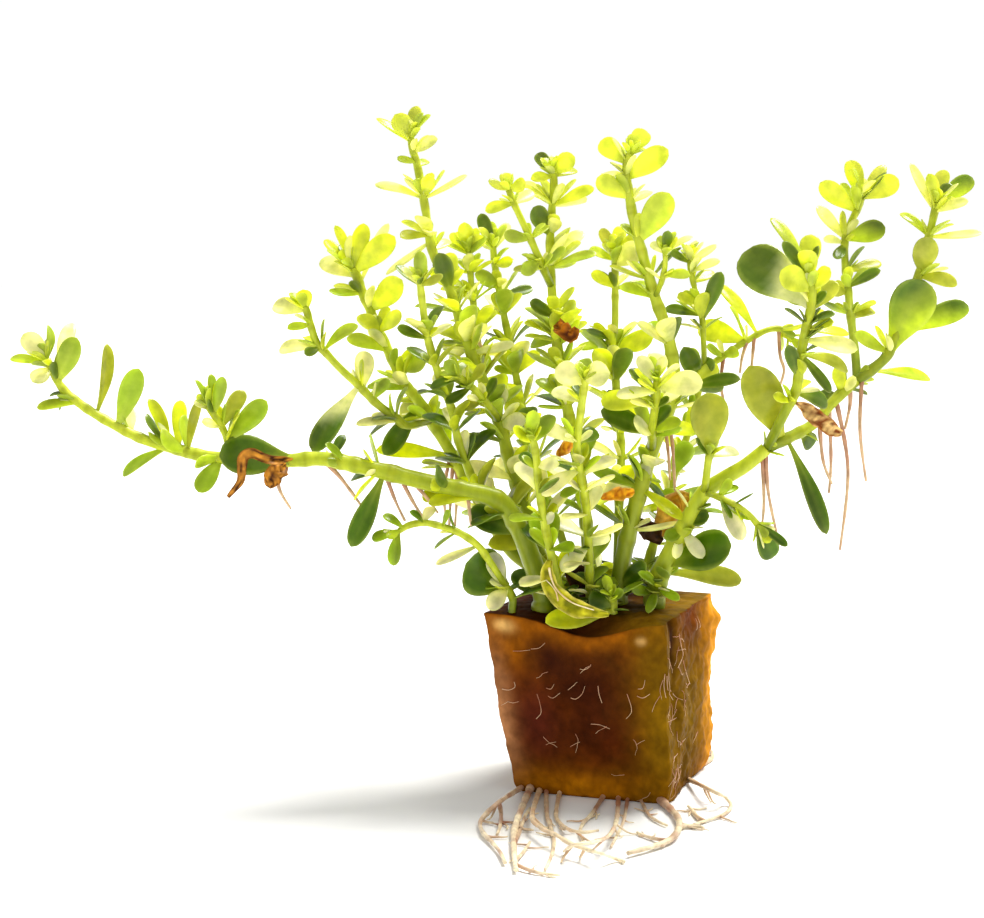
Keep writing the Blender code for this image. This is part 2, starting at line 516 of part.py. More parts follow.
                   (222, 427, 243, 388, 16, 3, 15), (227, 440, 264, 402, 21, -3, 10),
                   (222, 427, 203, 421, 9, -3, 40)],
        "hair_roots": [],
    },
]

# Dead leaves: a name, the shoot that it hangs on, points along the blade (column, row, depth) and a width
DEAD_LEAVES = [
    ("dead_leaf_left", "trailing_shoot", [(292, 459, -16), (278, 460, -19), (264, 458, -20), (252, 453, -20),
                                          (244, 457, -20), (242, 468, -20), (240, 482, -20),
                                          (228, 497, -20)], 10),
    ("dead_leaf_low_left", "trailing_shoot", [(286, 466, -15), (277, 472, -17), (268, 487, -17)], 18),
    ("dead_leaf_top", "middle_shoot", [(557, 324, 3), (563, 329, -2), (571, 336, -4), (577, 328, -4)], 16),
    ("dead_leaf_crown", "right_branch", [(695, 496, -6), (684, 500, -1), (672, 509, 2), (664, 521, 3),
                                         (660, 536, 3)], 28),
    ("dead_leaf_dark", "tall_middle_shoot", [(637, 519, -2), (645, 527, 0), (654, 536, 1),
                                             (662, 542, 1)], 20),
    ("dead_leaf_inner", "middle_shoot", [(591, 588, -2), (582, 580, -4), (574, 571, -5), (568, 561, -5)], 24),
    ("dead_leaf_right", "right_front_shoot", [(796, 403, -18), (804, 407, -17), (812, 414, -17),
                                              (822, 422, -17), (832, 429, -16), (841, 433, -15)], 16),
    ("dead_leaf_middle", "middle_shoot", [(574, 444, 1), (567, 447, -2), (557, 456, -3)], 13),
    ("dead_leaf_front", "tall_middle_shoot", [(634, 492, -9), (618, 494, -11), (601, 498, -12)], 13),
    ("old_leaf_crown", "crown_front_shoot", [(609, 614, -19), (594, 613, -18.5), (577, 609, -18.5),
                                             (562, 600, -18.5), (551, 587, -18.5), (547, 573, -18.5),
                                             (550, 560, -18.5)], 18),
]

# Roots: each is one or more strands that grew together. A strand's point is (column, row, height in mm
# over the surface that it lies on); its width is in pixels. Rows are those of roots that hang, and a root
# that lies on the surface shows less of its length.
ROOTS = [
    ("root_far_left", [([(507, 789, 1), (499, 803, 3), (487, 820, 1), (480, 835, 0), (483, 850, 0),
                         (492, 865, 0), (500, 880, 0), (505, 896, 0)], 6),
                       ([(499, 803, 3), (501, 822, 0), (500, 840, 0), (497, 853, 0)], 5)]),
    ("root_left", [([(530, 804, 1), (519, 822, 1), (514, 850, 0), (514, 880, 0), (516, 906, 0)], 8),
                   ([(514, 872, 0), (520, 845, 0), (525, 824, 0), (530, 812, 0)], 5),
                   ([(516, 896, 0), (523, 880, 0), (530, 864, 0)], 4),
                   ([(515, 902, 0), (535, 910, 0), (560, 915, 0)], 4)]),
    ("root_long", [([(538, 806, 2), (532, 822, 2), (540, 840, 2), (556, 852, 2.4), (568, 863, 2.2),
                     (582, 872, 2), (600, 880, 2), (617, 889, 0), (624, 893, 0)], 6)]),
    ("root_bent", [([(546, 806, 1), (547, 822, 0), (551, 842, 0), (554, 862, 0), (552, 882, 0),
                     (545, 906, 0)], 5)]),
    ("root_hooked", [([(560, 806, 1), (556, 820, 0), (560, 835, 0), (570, 845, 1.6), (584, 849, 2),
                       (598, 846, 1.6)], 5)]),
    ("root_middle", [([(604, 807, 1), (592, 820, 0), (583, 835, 0), (580, 850, 0), (584, 864, 0)], 5)]),
    ("root_curved", [([(618, 808, 1), (617, 825, 1), (613, 845, 2), (605, 858, 2.4), (592, 864, 4.2),
                       (574, 868, 4.4), (564, 878, 0)], 5)]),
    ("root_thin", [([(630, 808, 1), (625, 822, 0), (622, 838, 0), (616, 856, 0), (611, 871, 0)], 4)]),
    ("root_short", [([(641, 808, 1), (648, 820, 0), (657, 831, 0), (667, 838, 0)], 4)]),
    ("root_right", [([(672, 806, 1), (676, 822, 0), (679, 840, 0), (672, 858, 0), (656, 869, 0),
                      (640, 876, 0), (628, 881, 0)], 8),
                    ([(663, 865, 0), (650, 857, 0), (637, 849, 0)], 4),
                    ([(679, 842, 0), (692, 838, 0), (704, 842, 0)], 4)]),
    ("root_loop", [([(700, 790, 2), (713, 785, 3), (726, 795, 1), (731, 808, 0), (724, 820, 0),
                     (706, 830, 0), (694, 836, 0)], 5),
                   ([(704, 831, 0), (697, 824, 0), (692, 814, 0), (688, 808, 0)], 5)]),
    ("root_back_left", [([(575, 722, 1), (565, 712, 0), (552, 706, 0), (540, 694, 0), (537, 680, 0)], 6)]),
    ("root_back", [([(630, 722, 1), (634, 708, 0), (624, 695, 0), (630, 680, 0), (643, 670, 0)], 6)]),
    ("root_back_right", [([(700, 744, 1), (712, 734, 0), (708, 718, 0), (696, 708, 0)], 5)]),
]


def sight(column, row):
    """The line of sight through a column and row of the picture."""
    ray = AHEAD * DISTANCE
    ray += RIGHT * (column - MIDDLE_COLUMN) * PIXEL
    ray -= UP * (row - MIDDLE_ROW) * PIXEL
    return ray


def seen(column, row, depth):
    """The place in metres that shows at a column and row, depth mm behind the plug's middle."""
    ray = sight(column, row)
    return EYE + ray * (depth * MM - EYE.y) / ray.y


def shows(point):
    """The column and row of the picture where a place shows."""
    offset = point - EYE
    away = offset.dot(AHEAD)
    column = MIDDLE_COLUMN + offset.dot(RIGHT) * DISTANCE / away / PIXEL
    row = MIDDLE_ROW - offset.dot(UP) * DISTANCE / away / PIXEL
    return Vector((column, row))


def crown(column, depth):
    """The place just over the plug's top that shows in a column, depth mm behind the plug's middle."""
    away = (depth * MM - EYE.y) * AHEAD.y + (PLUG_HEIGHT - EYE.z) * AHEAD.z
    across = (column - MIDDLE_COLUMN) * PIXEL * away / DISTANCE
    return Vector((EYE.x + across, depth * MM, PLUG_HEIGHT + GAP))


def laid(column, row, height, radius):
    """The place on the surface where a point of a laid root shows, height mm over its lowest place."""
    ray = sight(column, FRONT_EDGE_ROW + (row - FRONT_EDGE_ROW) * ROOT_DROP_SHOWN)
    centre = radius + height * MM
    return EYE + ray * (centre - EYE.z) / ray.z


def smooth(points, step):
    """Points about step apart on a smooth curve through the given ones."""
    fine = []
    last = len(points) - 1
    for i in range(last):
        before = points[max(i - 1, 0)]
        start = points[i]
        end = points[i + 1]
        after = points[min(i + 2, last)]
        for k in range(CURVE_PARTS):
            t = k / CURVE_PARTS
            bend = (2 * before - 5 * start + 4 * end - after) * t * t
            twist = (3 * start - before - 3 * end + after) * t * t * t
            fine.append(start + ((end - before) * t + bend + twist) / 2)
    fine.append(points[-1])
    return spaced(fine, step)


def spaced(points, step):
    """The same line with its points an even distance, about step, apart."""
    reach = [0.0]
    for a, b in zip(points, points[1:]):
        reach.append(reach[-1] + (b - a).length)
    count = max(2, round(reach[-1] / step))
    even = []
    k = 0
    for i in range(count + 1):
        wanted = reach[-1] * i / count
        while k < len(points) - 2 and reach[k + 1] < wanted:
            k += 1
        share = (wanted - reach[k]) / (reach[k + 1] - reach[k])
        even.append(points[k].lerp(points[k + 1], min(max(share, 0), 1)))
    return even


def thinned(points, slack):
    """The same line with only the points that it needs to stay within slack of its old ones."""
    first = points[0]
    span = points[-1] - first
    if len(points) < 3:
        return list(points)
    offsets = []
    for point in points[1:-1]:
        share = min(max((point - first).dot(span) / span.length_squared, 0), 1)
        offsets.append((first + span * share - point).length)
    worst = max(offsets)
    if worst < slack:
        return [first, points[-1]]
    middle = offsets.index(worst) + 1
    return thinned(points[: middle + 1], slack)[:-1] + thinned(points[middle:], slack)


def tube(points, radii, roundness):
    """A closed tube along the points, with a radius at each."""
    curve = bpy.data.curves.new("tube", "CURVE")
    curve.dimensions = "3D"
    curve.bevel_depth = radii[0]
    curve.bevel_resolution = roundness
    curve.use_fill_caps = True
    spline = curve.splines.new("POLY")
    spline.points.add(len(points) - 1)
    for i, point in enumerate(points):
        spline.points[i].co = (*point, 1)
        spline.points[i].radius = radii[i] / radii[0]
    holder = bpy.data.objects.new("tube", curve)
    bpy.context.scene.collection.objects.link(holder)
    drawn = holder.evaluated_get(bpy.context.evaluated_depsgraph_get())
    mesh = bpy.data.meshes.new_from_object(drawn)
    bpy.data.objects.remove(holder)
    bpy.data.curves.remove(curve)
    shape = bmesh.new()
    shape.from_mesh(mesh)
    bpy.data.meshes.remove(mesh)
    bmesh.ops.remove_doubles(shape, verts=shape.verts, dist=WELD)
    bmesh.ops.recalc_face_normals(shape, faces=shape.faces)
    return shape


def leaf_shape(leaf, swell=0.0):
    """A leaf as a closed cage, widest past its middle: a large one has two rings, and a small one has one."""
    length = leaf["length"]
    large = length > SMALL_LEAF
    outline = LARGE_OUTLINE if large else SMALL_OUTLINE
    section = LARGE_SECTION if large else SMALL_SECTION
    side = leaf["along"].cross(leaf["face"])
    shape = bmesh.new()
    rings = []
    for share, breadth in outline:
        reach = length * share + (swell if share == 1 else 0)
        middle = leaf["base"] + leaf["along"] * reach - leaf["face"] * LEAF_SAG * length * share * share
        if not breadth:
            rings.append([shape.verts.new(middle)] * len(section))
            continue
        half = leaf["width"] / 2 * breadth + swell
        thick = LEAF_THICK * (1.1 - 0.5 * share) + 2 * swell
        corners = [middle + side * half * a + leaf["face"] * thick * b for a, b in section]
        rings.append([shape.verts.new(corner) for corner in corners])
    for low, high in zip(rings, rings[1:]):
        add_band(shape, low, high)
    bmesh.ops.recalc_face_normals(shape, faces=shape.faces)
    return shape


def add_band(shape, low, high):
    """The faces between two rings of corners, either of which may be a single point."""
    count = len(low)
    for k in range(count):
        corners = [low[k], low[(k + 1) % count], high[(k + 1) % count], high[k]]
        shape.faces.new(dict.fromkeys(corners))


def make_leaf(base, along, face, length, width):
    """A leaf that grows from base towards along, with its upper side to face."""
    along = along.normalized()
    face = (face - along * face.dot(along)).normalized()
    return {"base": base, "along": along, "face": face, "length": length, "width": width}


def drawn_leaf(line, row, stretch, swing, extra_roll):
    """A leaf drawn by hand on the picture, changed a little where it would touch another shoot."""
    base_column, base_row, tip_column, tip_row, width, depth, roll = row
    drawn_base = Vector((base_column, base_row))
    base = min(line, key=lambda p: (shows(p) - drawn_base).length)
    tip = seen(tip_column, tip_row, base.y / MM + depth + swing)
    along = (tip - base).normalized()
    to_eye = (EYE - base).normalized()
    to_eye = (to_eye - along * to_eye.dot(along)).normalized()
    skyward = Vector((0, 0, 1)) - along * along.z
    if skyward.length < 0.35:
        skyward = along.cross(to_eye)
    angle = math.radians(roll + extra_roll)
    face = to_eye * math.cos(angle) + skyward.normalized() * math.sin(angle)
    real_width = width * PIXEL / max(math.cos(math.radians(roll)), 0.45)
    return make_leaf(base, along, face, (tip - base).length * stretch, real_width)


def paired_leaf(line, share, length, turn, lean):
    """One leaf of an opposite pair, at a share of a shoot's length."""
    place = share * (len(line) - 1)
    i = min(int(place), len(line) - 2)
    base = line[i].lerp(line[i + 1], place - i)
    ahead = (line[i + 1] - line[i]).normalized()
    across = ahead.cross(Vector((0, 1, 0))).normalized()
    outward = Matrix.Rotation(math.radians(turn), 3, ahead) @ across
    along = ahead * math.cos(math.radians(lean)) + outward * math.sin(math.radians(lean))
    return make_leaf(base, along, ahead, length, length * PAIR_WIDTH)


def leaf_choices(shoot):
    """For each leaf of a shoot, the places that it may take, the best one first."""
    line = shoot["bones"]
    for row in shoot["leaves"]:
        yield [drawn_leaf(line, row, *change) for change in DRAWN_CHANGES]
    if shoot["pairs"]:
        first, last, count, first_length, last_length, turn = shoot["pairs"]
        for k in range(count):
            part = k / max(count - 1, 1)
            share = first + (last - first) * part
            length = (first_length + (last_length - first_length) * part) * MM
            lean = PAIR_LEAN[0] + (PAIR_LEAN[1] - PAIR_LEAN[0]) * share
            for side in (0, 180):
                angle = turn + 90 * k + side
                yield [
                    paired_leaf(line, share, length * stretch, angle + swing, lean)
                    for stretch, swing in PAIR_CHANGES
                ]


def bud_shape(line):
    """The closed young leaves at a shoot's tip, as one small body."""
    ahead = (line[-1] - line[-2]).normalized()
    middle = line[-1] + ahead * BUD_AHEAD
    shape = bmesh.new()
    bmesh.ops.create_uvsphere(shape, u_segments=4, v_segments=2, radius=1)
    bmesh.ops.scale(shape, verts=shape.verts, vec=(BUD_WIDTH / 2, BUD_WIDTH / 2, BUD_LENGTH / 2))
    bmesh.ops.rotate(shape, verts=shape.verts, matrix=ahead.to_track_quat("Z", "Y").to_matrix())
    bmesh.ops.translate(shape, verts=shape.verts, vec=middle)
    return shape


def tree_of(shape):
    """A shape's faces, ready to be tested against those of others."""
    return BVHTree.FromBMesh(shape)


def touches(shape, others):
    """Whether a shape meets any of the others."""
    tree = tree_of(shape)
    return any(tree.overlap(other) for other in others)


def trees_of_others(shoot):
    """Everything that stands so far of the shoots other than this one."""
    return [tree for other in SHOOTS if other is not shoot for tree in other["trees"]]


def lay_out(shoot):
    """A shoot's smooth line, from the crown or from the shoot that it forks off."""
    points = [seen(*place) for place in shoot["route"]]
    if "crown" in shoot:
        foot = crown(*shoot["crown"])
        points = [foot, foot + Vector((0, 0, 2 * UPRIGHT_START))] + points[1:]
    shoot["line"] = smooth(points, LINE_STEP)
    shoot["radii"] = [w * PIXEL / 2 for w in shoot["width"]]


def stem_shape(shoot, start):
    """A shoot's stem, left out up to a point of its line, and the corners of the line that it follows."""
    bones = thinned(shoot["line"][start:], STEM_SLACK)
    if "crown" in shoot:
        bones.insert(1, bones[0] + Vector((0, 0, UPRIGHT_START)))
    thick, thin = shoot["radii"]
    whole = (len(shoot["line"]) - 1) * LINE_STEP
    reach = start * LINE_STEP
    radii = [thick + (thin - thick) * reach / whole]
    for a, b in zip(bones, bones[1:]):
        reach += (b - a).length
        radii.append(thick + (thin - thick) * min(reach / whole, 1))
    return tube(bones, radii, 1 if thick > THICK_STEM else 0), bones


def free_start(shoot, others):
    """How far along its line a side shoot starts, so that it clears the others where it forks off."""
    for start in range(len(shoot["line"]) - 4):
        stem, bones = stem_shape(shoot, start)
        near = min(tree.find_nearest(vertex.co)[3] for vertex in stem.verts for tree in others)
        clear = near > GAP and not touches(stem, others)
        stem.free()
        if clear:
            return start
    raise ValueError("no free start for " + shoot["name"])


def as_object(name, shape, group, origin=(0, 0, 0)):
    """An object made from a shape, in a collection, with its own origin."""
    mesh = bpy.data.meshes.new(name)
    bmesh.ops.translate(shape, verts=shape.verts, vec=-Vector(origin))
    shape.to_mesh(mesh)
    shape.free()
    thing = bpy.data.objects.new(name, mesh)
    thing.location = origin
    group.objects.link(thing)
    return thing


def finished(thing, material, plant):
    """Gives an object its material, its smooth shading and its parent."""
    thing.data.materials.append(material)
    thing.data.shade_smooth()
    thing.data.set_sharp_from_angle(angle=SHARP_EDGE)
    thing.parent = plant


def is_one_solid(mesh):
    """Whether a mesh, once its slivers are merged, is closed and all in one piece."""
    shape = bmesh.new()
    shape.from_mesh(mesh)
    bmesh.ops.remove_doubles(shape, verts=shape.verts, dist=WELD)
    bmesh.ops.dissolve_degenerate(shape, edges=shape.edges, dist=WELD)
    shape.to_mesh(mesh)
    bmesh.ops.triangulate(shape, faces=shape.faces)
    closed = all(len(edge.link_faces) == 2 for edge in shape.edges)
    shape.faces.ensure_lookup_table()
    reached = {shape.faces[0]}
    waiting = [shape.faces[0]]
    while waiting:
        for edge in waiting.pop().edges:
            for face in edge.link_faces:
                if face not in reached:
                    reached.add(face)
                    waiting.append(face)
    whole = len(reached) == len(shape.faces)
    shape.free()
    return closed and whole


def join(thing, shape, group):
    """Joins a shape to an object by a Boolean union, if that gives one closed solid."""
    extra = as_object("addition", shape, group)
    union = thing.modifiers.new("union", "BOOLEAN")
    union.operation = "UNION"
    union.solver = "EXACT"
    union.object = extra
    for nudge in NUDGES:
        extra.location = Vector(nudge) * NUDGE
        bpy.context.view_layer.update()
        drawn = thing.evaluated_get(bpy.context.evaluated_depsgraph_get())
        joined = bpy.data.meshes.new_from_object(drawn)
        good = is_one_solid(joined)
        if good:
            break
        bpy.data.meshes.remove(joined)
    thing.modifiers.clear()
    spare = extra.data
    bpy.data.objects.remove(extra)
    bpy.data.meshes.remove(spare)
    if good:
        spare = thing.data
        thing.data = joined
        bpy.data.meshes.remove(spare)


def fused(name, body, additions, group, origin):
    """A body with its additions joined to it in one solid."""
    thing = as_object(name, body, group, origin)
    for shape in additions:
        join(thing, shape, group)
    return thing


def paint(name, colour, roughness):
    """A plain surface of one colour."""
    material = bpy.data.materials.new(name)
    material.use_nodes = True
    surface = material.node_tree.nodes["Principled BSDF"]
    surface.inputs["Base Color"].default_value = (*colour, 1)
    surface.inputs["Roughness"].default_value = roughness
    surface.inputs["Metallic"].default_value = 0
    return material


def plug_place(x, y, rise):
    """Where a point of the plug's unit block lies: a narrow foot, cut corners, a sunken front rim."""
    width = PLUG_FOOT + (PLUG_TOP - PLUG_FOOT) * rise**PLUG_FLARE
    flat = Vector((x, y, 0))
    corner = max(0, abs(x) + abs(y) - CORNER_START)
    flat *= 1 - PLUG_CORNER * corner
    place = Matrix.Rotation(PLUG_TURN, 3, "Z") @ (flat * width)
    place.x += PLUG_LEAN * rise
    dip = math.exp(-(((x - 0.08) / 0.25) ** 2) - ((y + 0.5) / 0.12) ** 2) * RIM_DIP
    place.z = rise * PLUG_HEIGHT - dip * max((rise - 0.6) / 0.4, 0)
    return place


def make_plug(group, plant):
    """The square plug of mineral wool: narrower at the foot and lumpy, with a flat foot."""
    shape = bmesh.new()
    bmesh.ops.create_cube(shape, size=1)
    bmesh.ops.subdivide_edges(shape, edges=shape.edges, cuts=PLUG_CUTS, use_grid_fill=True)
    turn = Matrix.Rotation(PLUG_TURN, 3, "Z")
    for vertex in shape.verts:
        x, y, z = vertex.co
        place = plug_place(x, y, z + 0.5)
        if max(abs(x), abs(y)) > 0.49:
            lump = noise.noise(place * PLUG_LUMPS_PER_METRE)
            place += turn @ Vector((x, y, 0)).normalized() * lump * PLUG_LUMP
        vertex.co = place
    low = [face for face in shape.faces if face.calc_center_median().z < 0.01 * MM]
    bmesh.ops.dissolve_faces(shape, faces=low)
    high = [face for face in shape.faces if face.calc_center_median().z > PLUG_HEIGHT - 0.01 * MM]
    bmesh.ops.dissolve_faces(shape, faces=high)
    bmesh.ops.recalc_face_normals(shape, faces=shape.faces)
    plug = as_object("plug", shape, group)
    finished(plug, paint("wet_rockwool", PLUG_BROWN, 0.8), plant)
    return plug


def make_shoots(group, plant, plug_tree):
    """All stems with their leaves, aerial roots and buds, each shoot clear of the others."""
    material = paint("leaf_and_stem", GREEN, 0.45)
    stems = []
    for shoot in SHOOTS:
        lay_out(shoot)
        start = free_start(shoot, stems) if "parent" in shoot else 0
        shoot["stem"], bones = stem_shape(shoot, start)
        shoot["bones"] = spaced(bones, LINE_STEP)
        stems.append(tree_of(shoot["stem"]))
        shoot["trees"] = [stems[-1]]
        shoot["parts"] = []
    for shoot in SHOOTS:
        bud = bud_shape(shoot["line"])
        if not touches(bud, trees_of_others(shoot)):
            add_part(shoot, bud)
    for shoot in SHOOTS:
        for choices in leaf_choices(shoot):
            place_leaf(shoot, choices, plug_tree)
    for shoot in SHOOTS:
        for strand in shoot["hair_roots"]:
            hang_root(shoot, strand)
    for shoot in SHOOTS:
        grown = fused(shoot["name"], shoot["stem"], shoot["parts"], group, shoot["bones"][0])
        finished(grown, material, plant)


def add_part(shoot, shape):
    """Keeps a shape as a part of a shoot."""
    shoot["parts"].append(shape)
    shoot["trees"].append(tree_of(shape))


def place_leaf(shoot, choices, plug_tree):
    """Puts a leaf in the first of its places that is clear of the plug and of the other shoots, if any is."""
    others = [plug_tree] + trees_of_others(shoot)
    for leaf in choices:
        room = leaf_shape(leaf, CLEARANCE)
        taken = touches(room, others)
        room.free()
        if not taken:
            add_part(shoot, leaf_shape(leaf))
            return


def hang_root(shoot, strand):
    """A thin aerial root that hangs from a shoot, in front of what is in its way or behind it."""
    places = [Vector(place) for place in strand]
    base = min(shoot["bones"], key=lambda p: (shows(p) - places[0]).length)
    for forward in ROOT_SHIFTS:
        points = [base] + [seen(*place, base.y / MM + forward) for place in places[1:]]
        line = thinned(smooth(points, LINE_STEP), ROOT_SLACK)
        root = tube(line, [HAIR_ROOT] * (len(line) - 1) + [HAIR_ROOT / 2], 0)
        if not touches(root, trees_of_others(shoot)):
            add_part(shoot, root)
            return
        root.free()


def make_dead_leaves(group, plant):
    """The dead leaves: thin curled blades, each just clear of the shoot that it hangs on."""
    material = paint("dead_leaf", DEAD_BROWN, 0.7)
    stems = {shoot["name"]: shoot["trees"][0] for shoot in SHOOTS}
    for name, shoot_name, route, width in DEAD_LEAVES:
        points = [seen(*place) for place in route]
        place, normal, face, distance = stems[shoot_name].find_nearest(points[0])
        outward = (points[0] - place).normalized()
        points[0] = place + outward * (GAP + LEAF_THICK)
        shape = blade(smooth(points, DEAD_STEP), width * PIXEL)
        finished(as_object(name, shape, group, points[0]), material, plant)


def blade(line, width):
    """A thin leaf blade along a line, narrow at both ends."""
    shape = bmesh.new()
    rings = []
    last = len(line) - 1
    for i, point in enumerate(line):
        ahead = (line[min(i + 1, last)] - line[max(i - 1, 0)]).normalized()
        side = ahead.cross((EYE - point).normalized()).normalized()
        face = side.cross(ahead)
        part = DEAD_ENDS[0] + (DEAD_ENDS[1] - DEAD_ENDS[0]) * i / last
        half = width / 2 * math.sin(math.pi * part)
        corners = [point + side * half * a + face * LEAF_THICK * b for a, b in BLADE_CORNERS]
        rings.append([shape.verts.new(corner) for corner in corners])
    for low, high in zip(rings, rings[1:]):
        add_band(shape, low, high)
    shape.faces.new(rings[0])
    shape.faces.new(rings[-1])
    bmesh.ops.recalc_face_normals(shape, faces=shape.faces)
    return shape


def wall_by(point, height, wall):
    """The place low on the plug's wall behind a point, or else nearest to it, and the way out of the wall."""
    start = Vector((point.x, point.y, height))
    place, normal, face, distance = wall.ray_cast(start, Vector((0, 1, 0)), PLUG_TOP)
    if not place:
        place, normal, face, distance = wall.find_nearest(start)
    return Vector((place.x, place.y, height)), Vector((normal.x, normal.y, 0)).normalized()


def make_roots(group, plant, plug_tree):
    """The roots that leave the plug's foot and lie along the surface."""
    material = paint("root", ROOT_CREAM, 0.6)
    for name, strands in ROOTS:
        shapes = []
        for strand, width in strands:
            radius = width * PIXEL / 2
            points = [laid(*place, radius) for place in strand]
            if shapes:
                points[0] = min(main_line, key=lambda p: (p - points[0]).length)
                line = smooth(points, LINE_STEP)
            else:
                place, outward = wall_by(points[0], radius, plug_tree)
                points[0] = place + outward * (GAP + ROOT_CLEAR * radius)
                line = main_line = smooth(points, LINE_STEP)
            line = thinned(line, ROOT_SLACK)
            radii = [radius * (1 - ROOT_TAPER * i / (len(line) - 1)) for i in range(len(line))]
            shapes.append(tube(line, radii, 0))
        low = min(vertex.co.z for shape in shapes for vertex in shape.verts)
        for shape in shapes:
            bmesh.ops.translate(shape, verts=shape.verts, vec=(0, 0, ROOT_REST - low))
        grown = fused(name, shapes[0], shapes[1:], group, main_line[0])
        finished(grown, material, plant)


def main():
    for thing in list(bpy.data.objects):
        bpy.data.objects.remove(thing)
    group = bpy.data.collections.new("bacopa_plug_plant")
    bpy.context.scene.collection.children.link(group)
    plant = bpy.data.objects.new("bacopa_plug_plant", None)
    group.objects.link(plant)
    plug = make_plug(group, plant)
    plug_tree = BVHTree.FromObject(plug, bpy.context.evaluated_depsgraph_get())
    make_shoots(group, plant, plug_tree)
    make_dead_leaves(group, plant)
    make_roots(group, plant, plug_tree)


main()
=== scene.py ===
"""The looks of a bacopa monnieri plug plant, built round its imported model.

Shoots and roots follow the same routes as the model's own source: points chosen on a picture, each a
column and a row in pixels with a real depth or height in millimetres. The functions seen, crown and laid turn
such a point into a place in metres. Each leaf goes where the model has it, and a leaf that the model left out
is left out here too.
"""

import math

import bmesh
import bpy
import numpy as np
from mathutils import Matrix, Vector, noise
from mathutils.bvhtree import BVHTree
from mathutils.kdtree import KDTree


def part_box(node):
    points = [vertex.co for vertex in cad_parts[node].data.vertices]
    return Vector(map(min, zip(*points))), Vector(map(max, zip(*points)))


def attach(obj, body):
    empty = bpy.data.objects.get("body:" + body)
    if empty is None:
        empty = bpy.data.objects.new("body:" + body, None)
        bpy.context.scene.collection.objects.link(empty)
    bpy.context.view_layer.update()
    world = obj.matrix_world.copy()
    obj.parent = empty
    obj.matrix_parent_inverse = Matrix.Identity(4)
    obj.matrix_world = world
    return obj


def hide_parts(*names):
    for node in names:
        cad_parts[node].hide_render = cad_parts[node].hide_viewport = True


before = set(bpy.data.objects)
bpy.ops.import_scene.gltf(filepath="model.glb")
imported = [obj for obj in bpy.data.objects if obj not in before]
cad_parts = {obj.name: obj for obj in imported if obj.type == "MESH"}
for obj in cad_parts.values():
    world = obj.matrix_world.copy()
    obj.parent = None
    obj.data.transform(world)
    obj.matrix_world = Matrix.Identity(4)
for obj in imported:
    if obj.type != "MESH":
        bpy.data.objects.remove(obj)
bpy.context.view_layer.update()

MM = 0.001
SKY = Vector((0, 0, 1))

# The plug, as in the model
PLUG_TOP = 37.5 * MM
PLUG_FOOT = 30.5 * MM
PLUG_HEIGHT = 37.5 * MM
PLUG_TURN = math.radians(-19.5)
PLUG_LEAN = -3.0 * MM
PLUG_LUMP = 0.9 * MM
PLUG_LUMPS_PER_METRE = 90
PLUG_FLARE = 0.45
PLUG_CORNER = 0.04
CORNER_START = 0.8

# The picture that the routes are drawn on, as in the model
PLUG_TOP_PIXELS = 181
PIXEL = PLUG_TOP / PLUG_TOP_PIXELS
DISTANCE = 450 * MM
TILT = math.radians(6.5)
MIDDLE_COLUMN, MIDDLE_ROW = 492, 459
FOOT_COLUMN, FOOT_ROW = 614, 779
FRONT_EDGE_ROW = 803
ROOT_DROP_SHOWN = 0.65
PICTURE_WIDTH = 984
SENSOR_MM = 36

RIGHT = Vector((1, 0, 0))
AHEAD = Vector((0, math.cos(TILT), -math.sin(TILT)))
UP = Vector((0, math.sin(TILT), math.cos(TILT)))
EYE = -(
    DISTANCE * AHEAD
    + (FOOT_COLUMN - MIDDLE_COLUMN) * PIXEL * RIGHT
    - (FOOT_ROW - MIDDLE_ROW) * PIXEL * UP
)

# How the model lays out its shoots and leaves. A drawn leaf's change is a share of its length, mm of depth
# and degrees of roll; a paired leaf's is a share of its length and degrees of turn.
GAP = 0.3 * MM
STEM_SLACK = 0.75 * MM
UPRIGHT_START = 1.2 * MM
LINE_STEP = 1 * MM
LEAF_SAG = 0.10
STEEP_LEAF = 0.35
ROLL_SHOWN_LEAST = 0.45
PAIR_WIDTH = 0.48
PAIR_LEAN = (68, 42)
ROOT_SHIFTS = (0, 1.5, -1.5, 3, -3)
CURVE_PARTS = 12
DRAWN_CHANGES = [(1, 0, 0), (1, -2, 0), (1, 2, 0), (1, -4, 10), (1, 4, 10), (0.85, 0, 20), (0.85, -6, 0),
                 (0.85, 6, 0), (0.7, -3, 20), (0.7, 3, 20)]
PAIR_CHANGES = [(1, 0), (1, 20), (1, -20), (1, 40), (1, -40), (0.75, 0), (0.75, 30), (0.75, -30), (0.55, 0)]
TIP_SLACK = 0.12 * MM
START_SLACK = 0.12 * MM

# Leaves: a grid is the number of corners along and around, and a pair of numbers is the range of a draw
SMALL_LEAF = 6 * MM
SMALL_LEAF_GRID = (10, 12)
LEAF_GRID = (16, 16)
LEAF_BASE = 0.22
LONG_LEAF = 12.5 * MM
LONG_FOOT = 2.0
SHORT_FOOT = 1.4
LEAF_WIDEST = 0.68
LEAF_TIP = 0.07
LEAF_THICK_AT_LEAST = 0.45 * MM
LEAF_THICK_SHARE = 0.035
MIDRIB_DEPTH = 0.10 * MM
LEAF_CUP = (0.02, 0.28)
LEAF_BEND = (-0.05, 0.05)
LEAF_CURL = (-0.06, 0.10)
LEAF_WAVE = (0, 0.10)
LEAF_TWIST = (-0.3, 0.3)
# Painted shade: how dark a leaf's heart is, and how much darker one side and one end are than the other
LEAF_HEART_PAINTED_SHADE = (0.62, 1.02)
LEAF_FOLD_PAINTED_SHADE_ACROSS = (-0.25, 0.25)
LEAF_FOLD_PAINTED_SHADE_ALONG = (-0.45, 0.3)
LEAF_BRIGHTNESS = (0.92, 1.12)

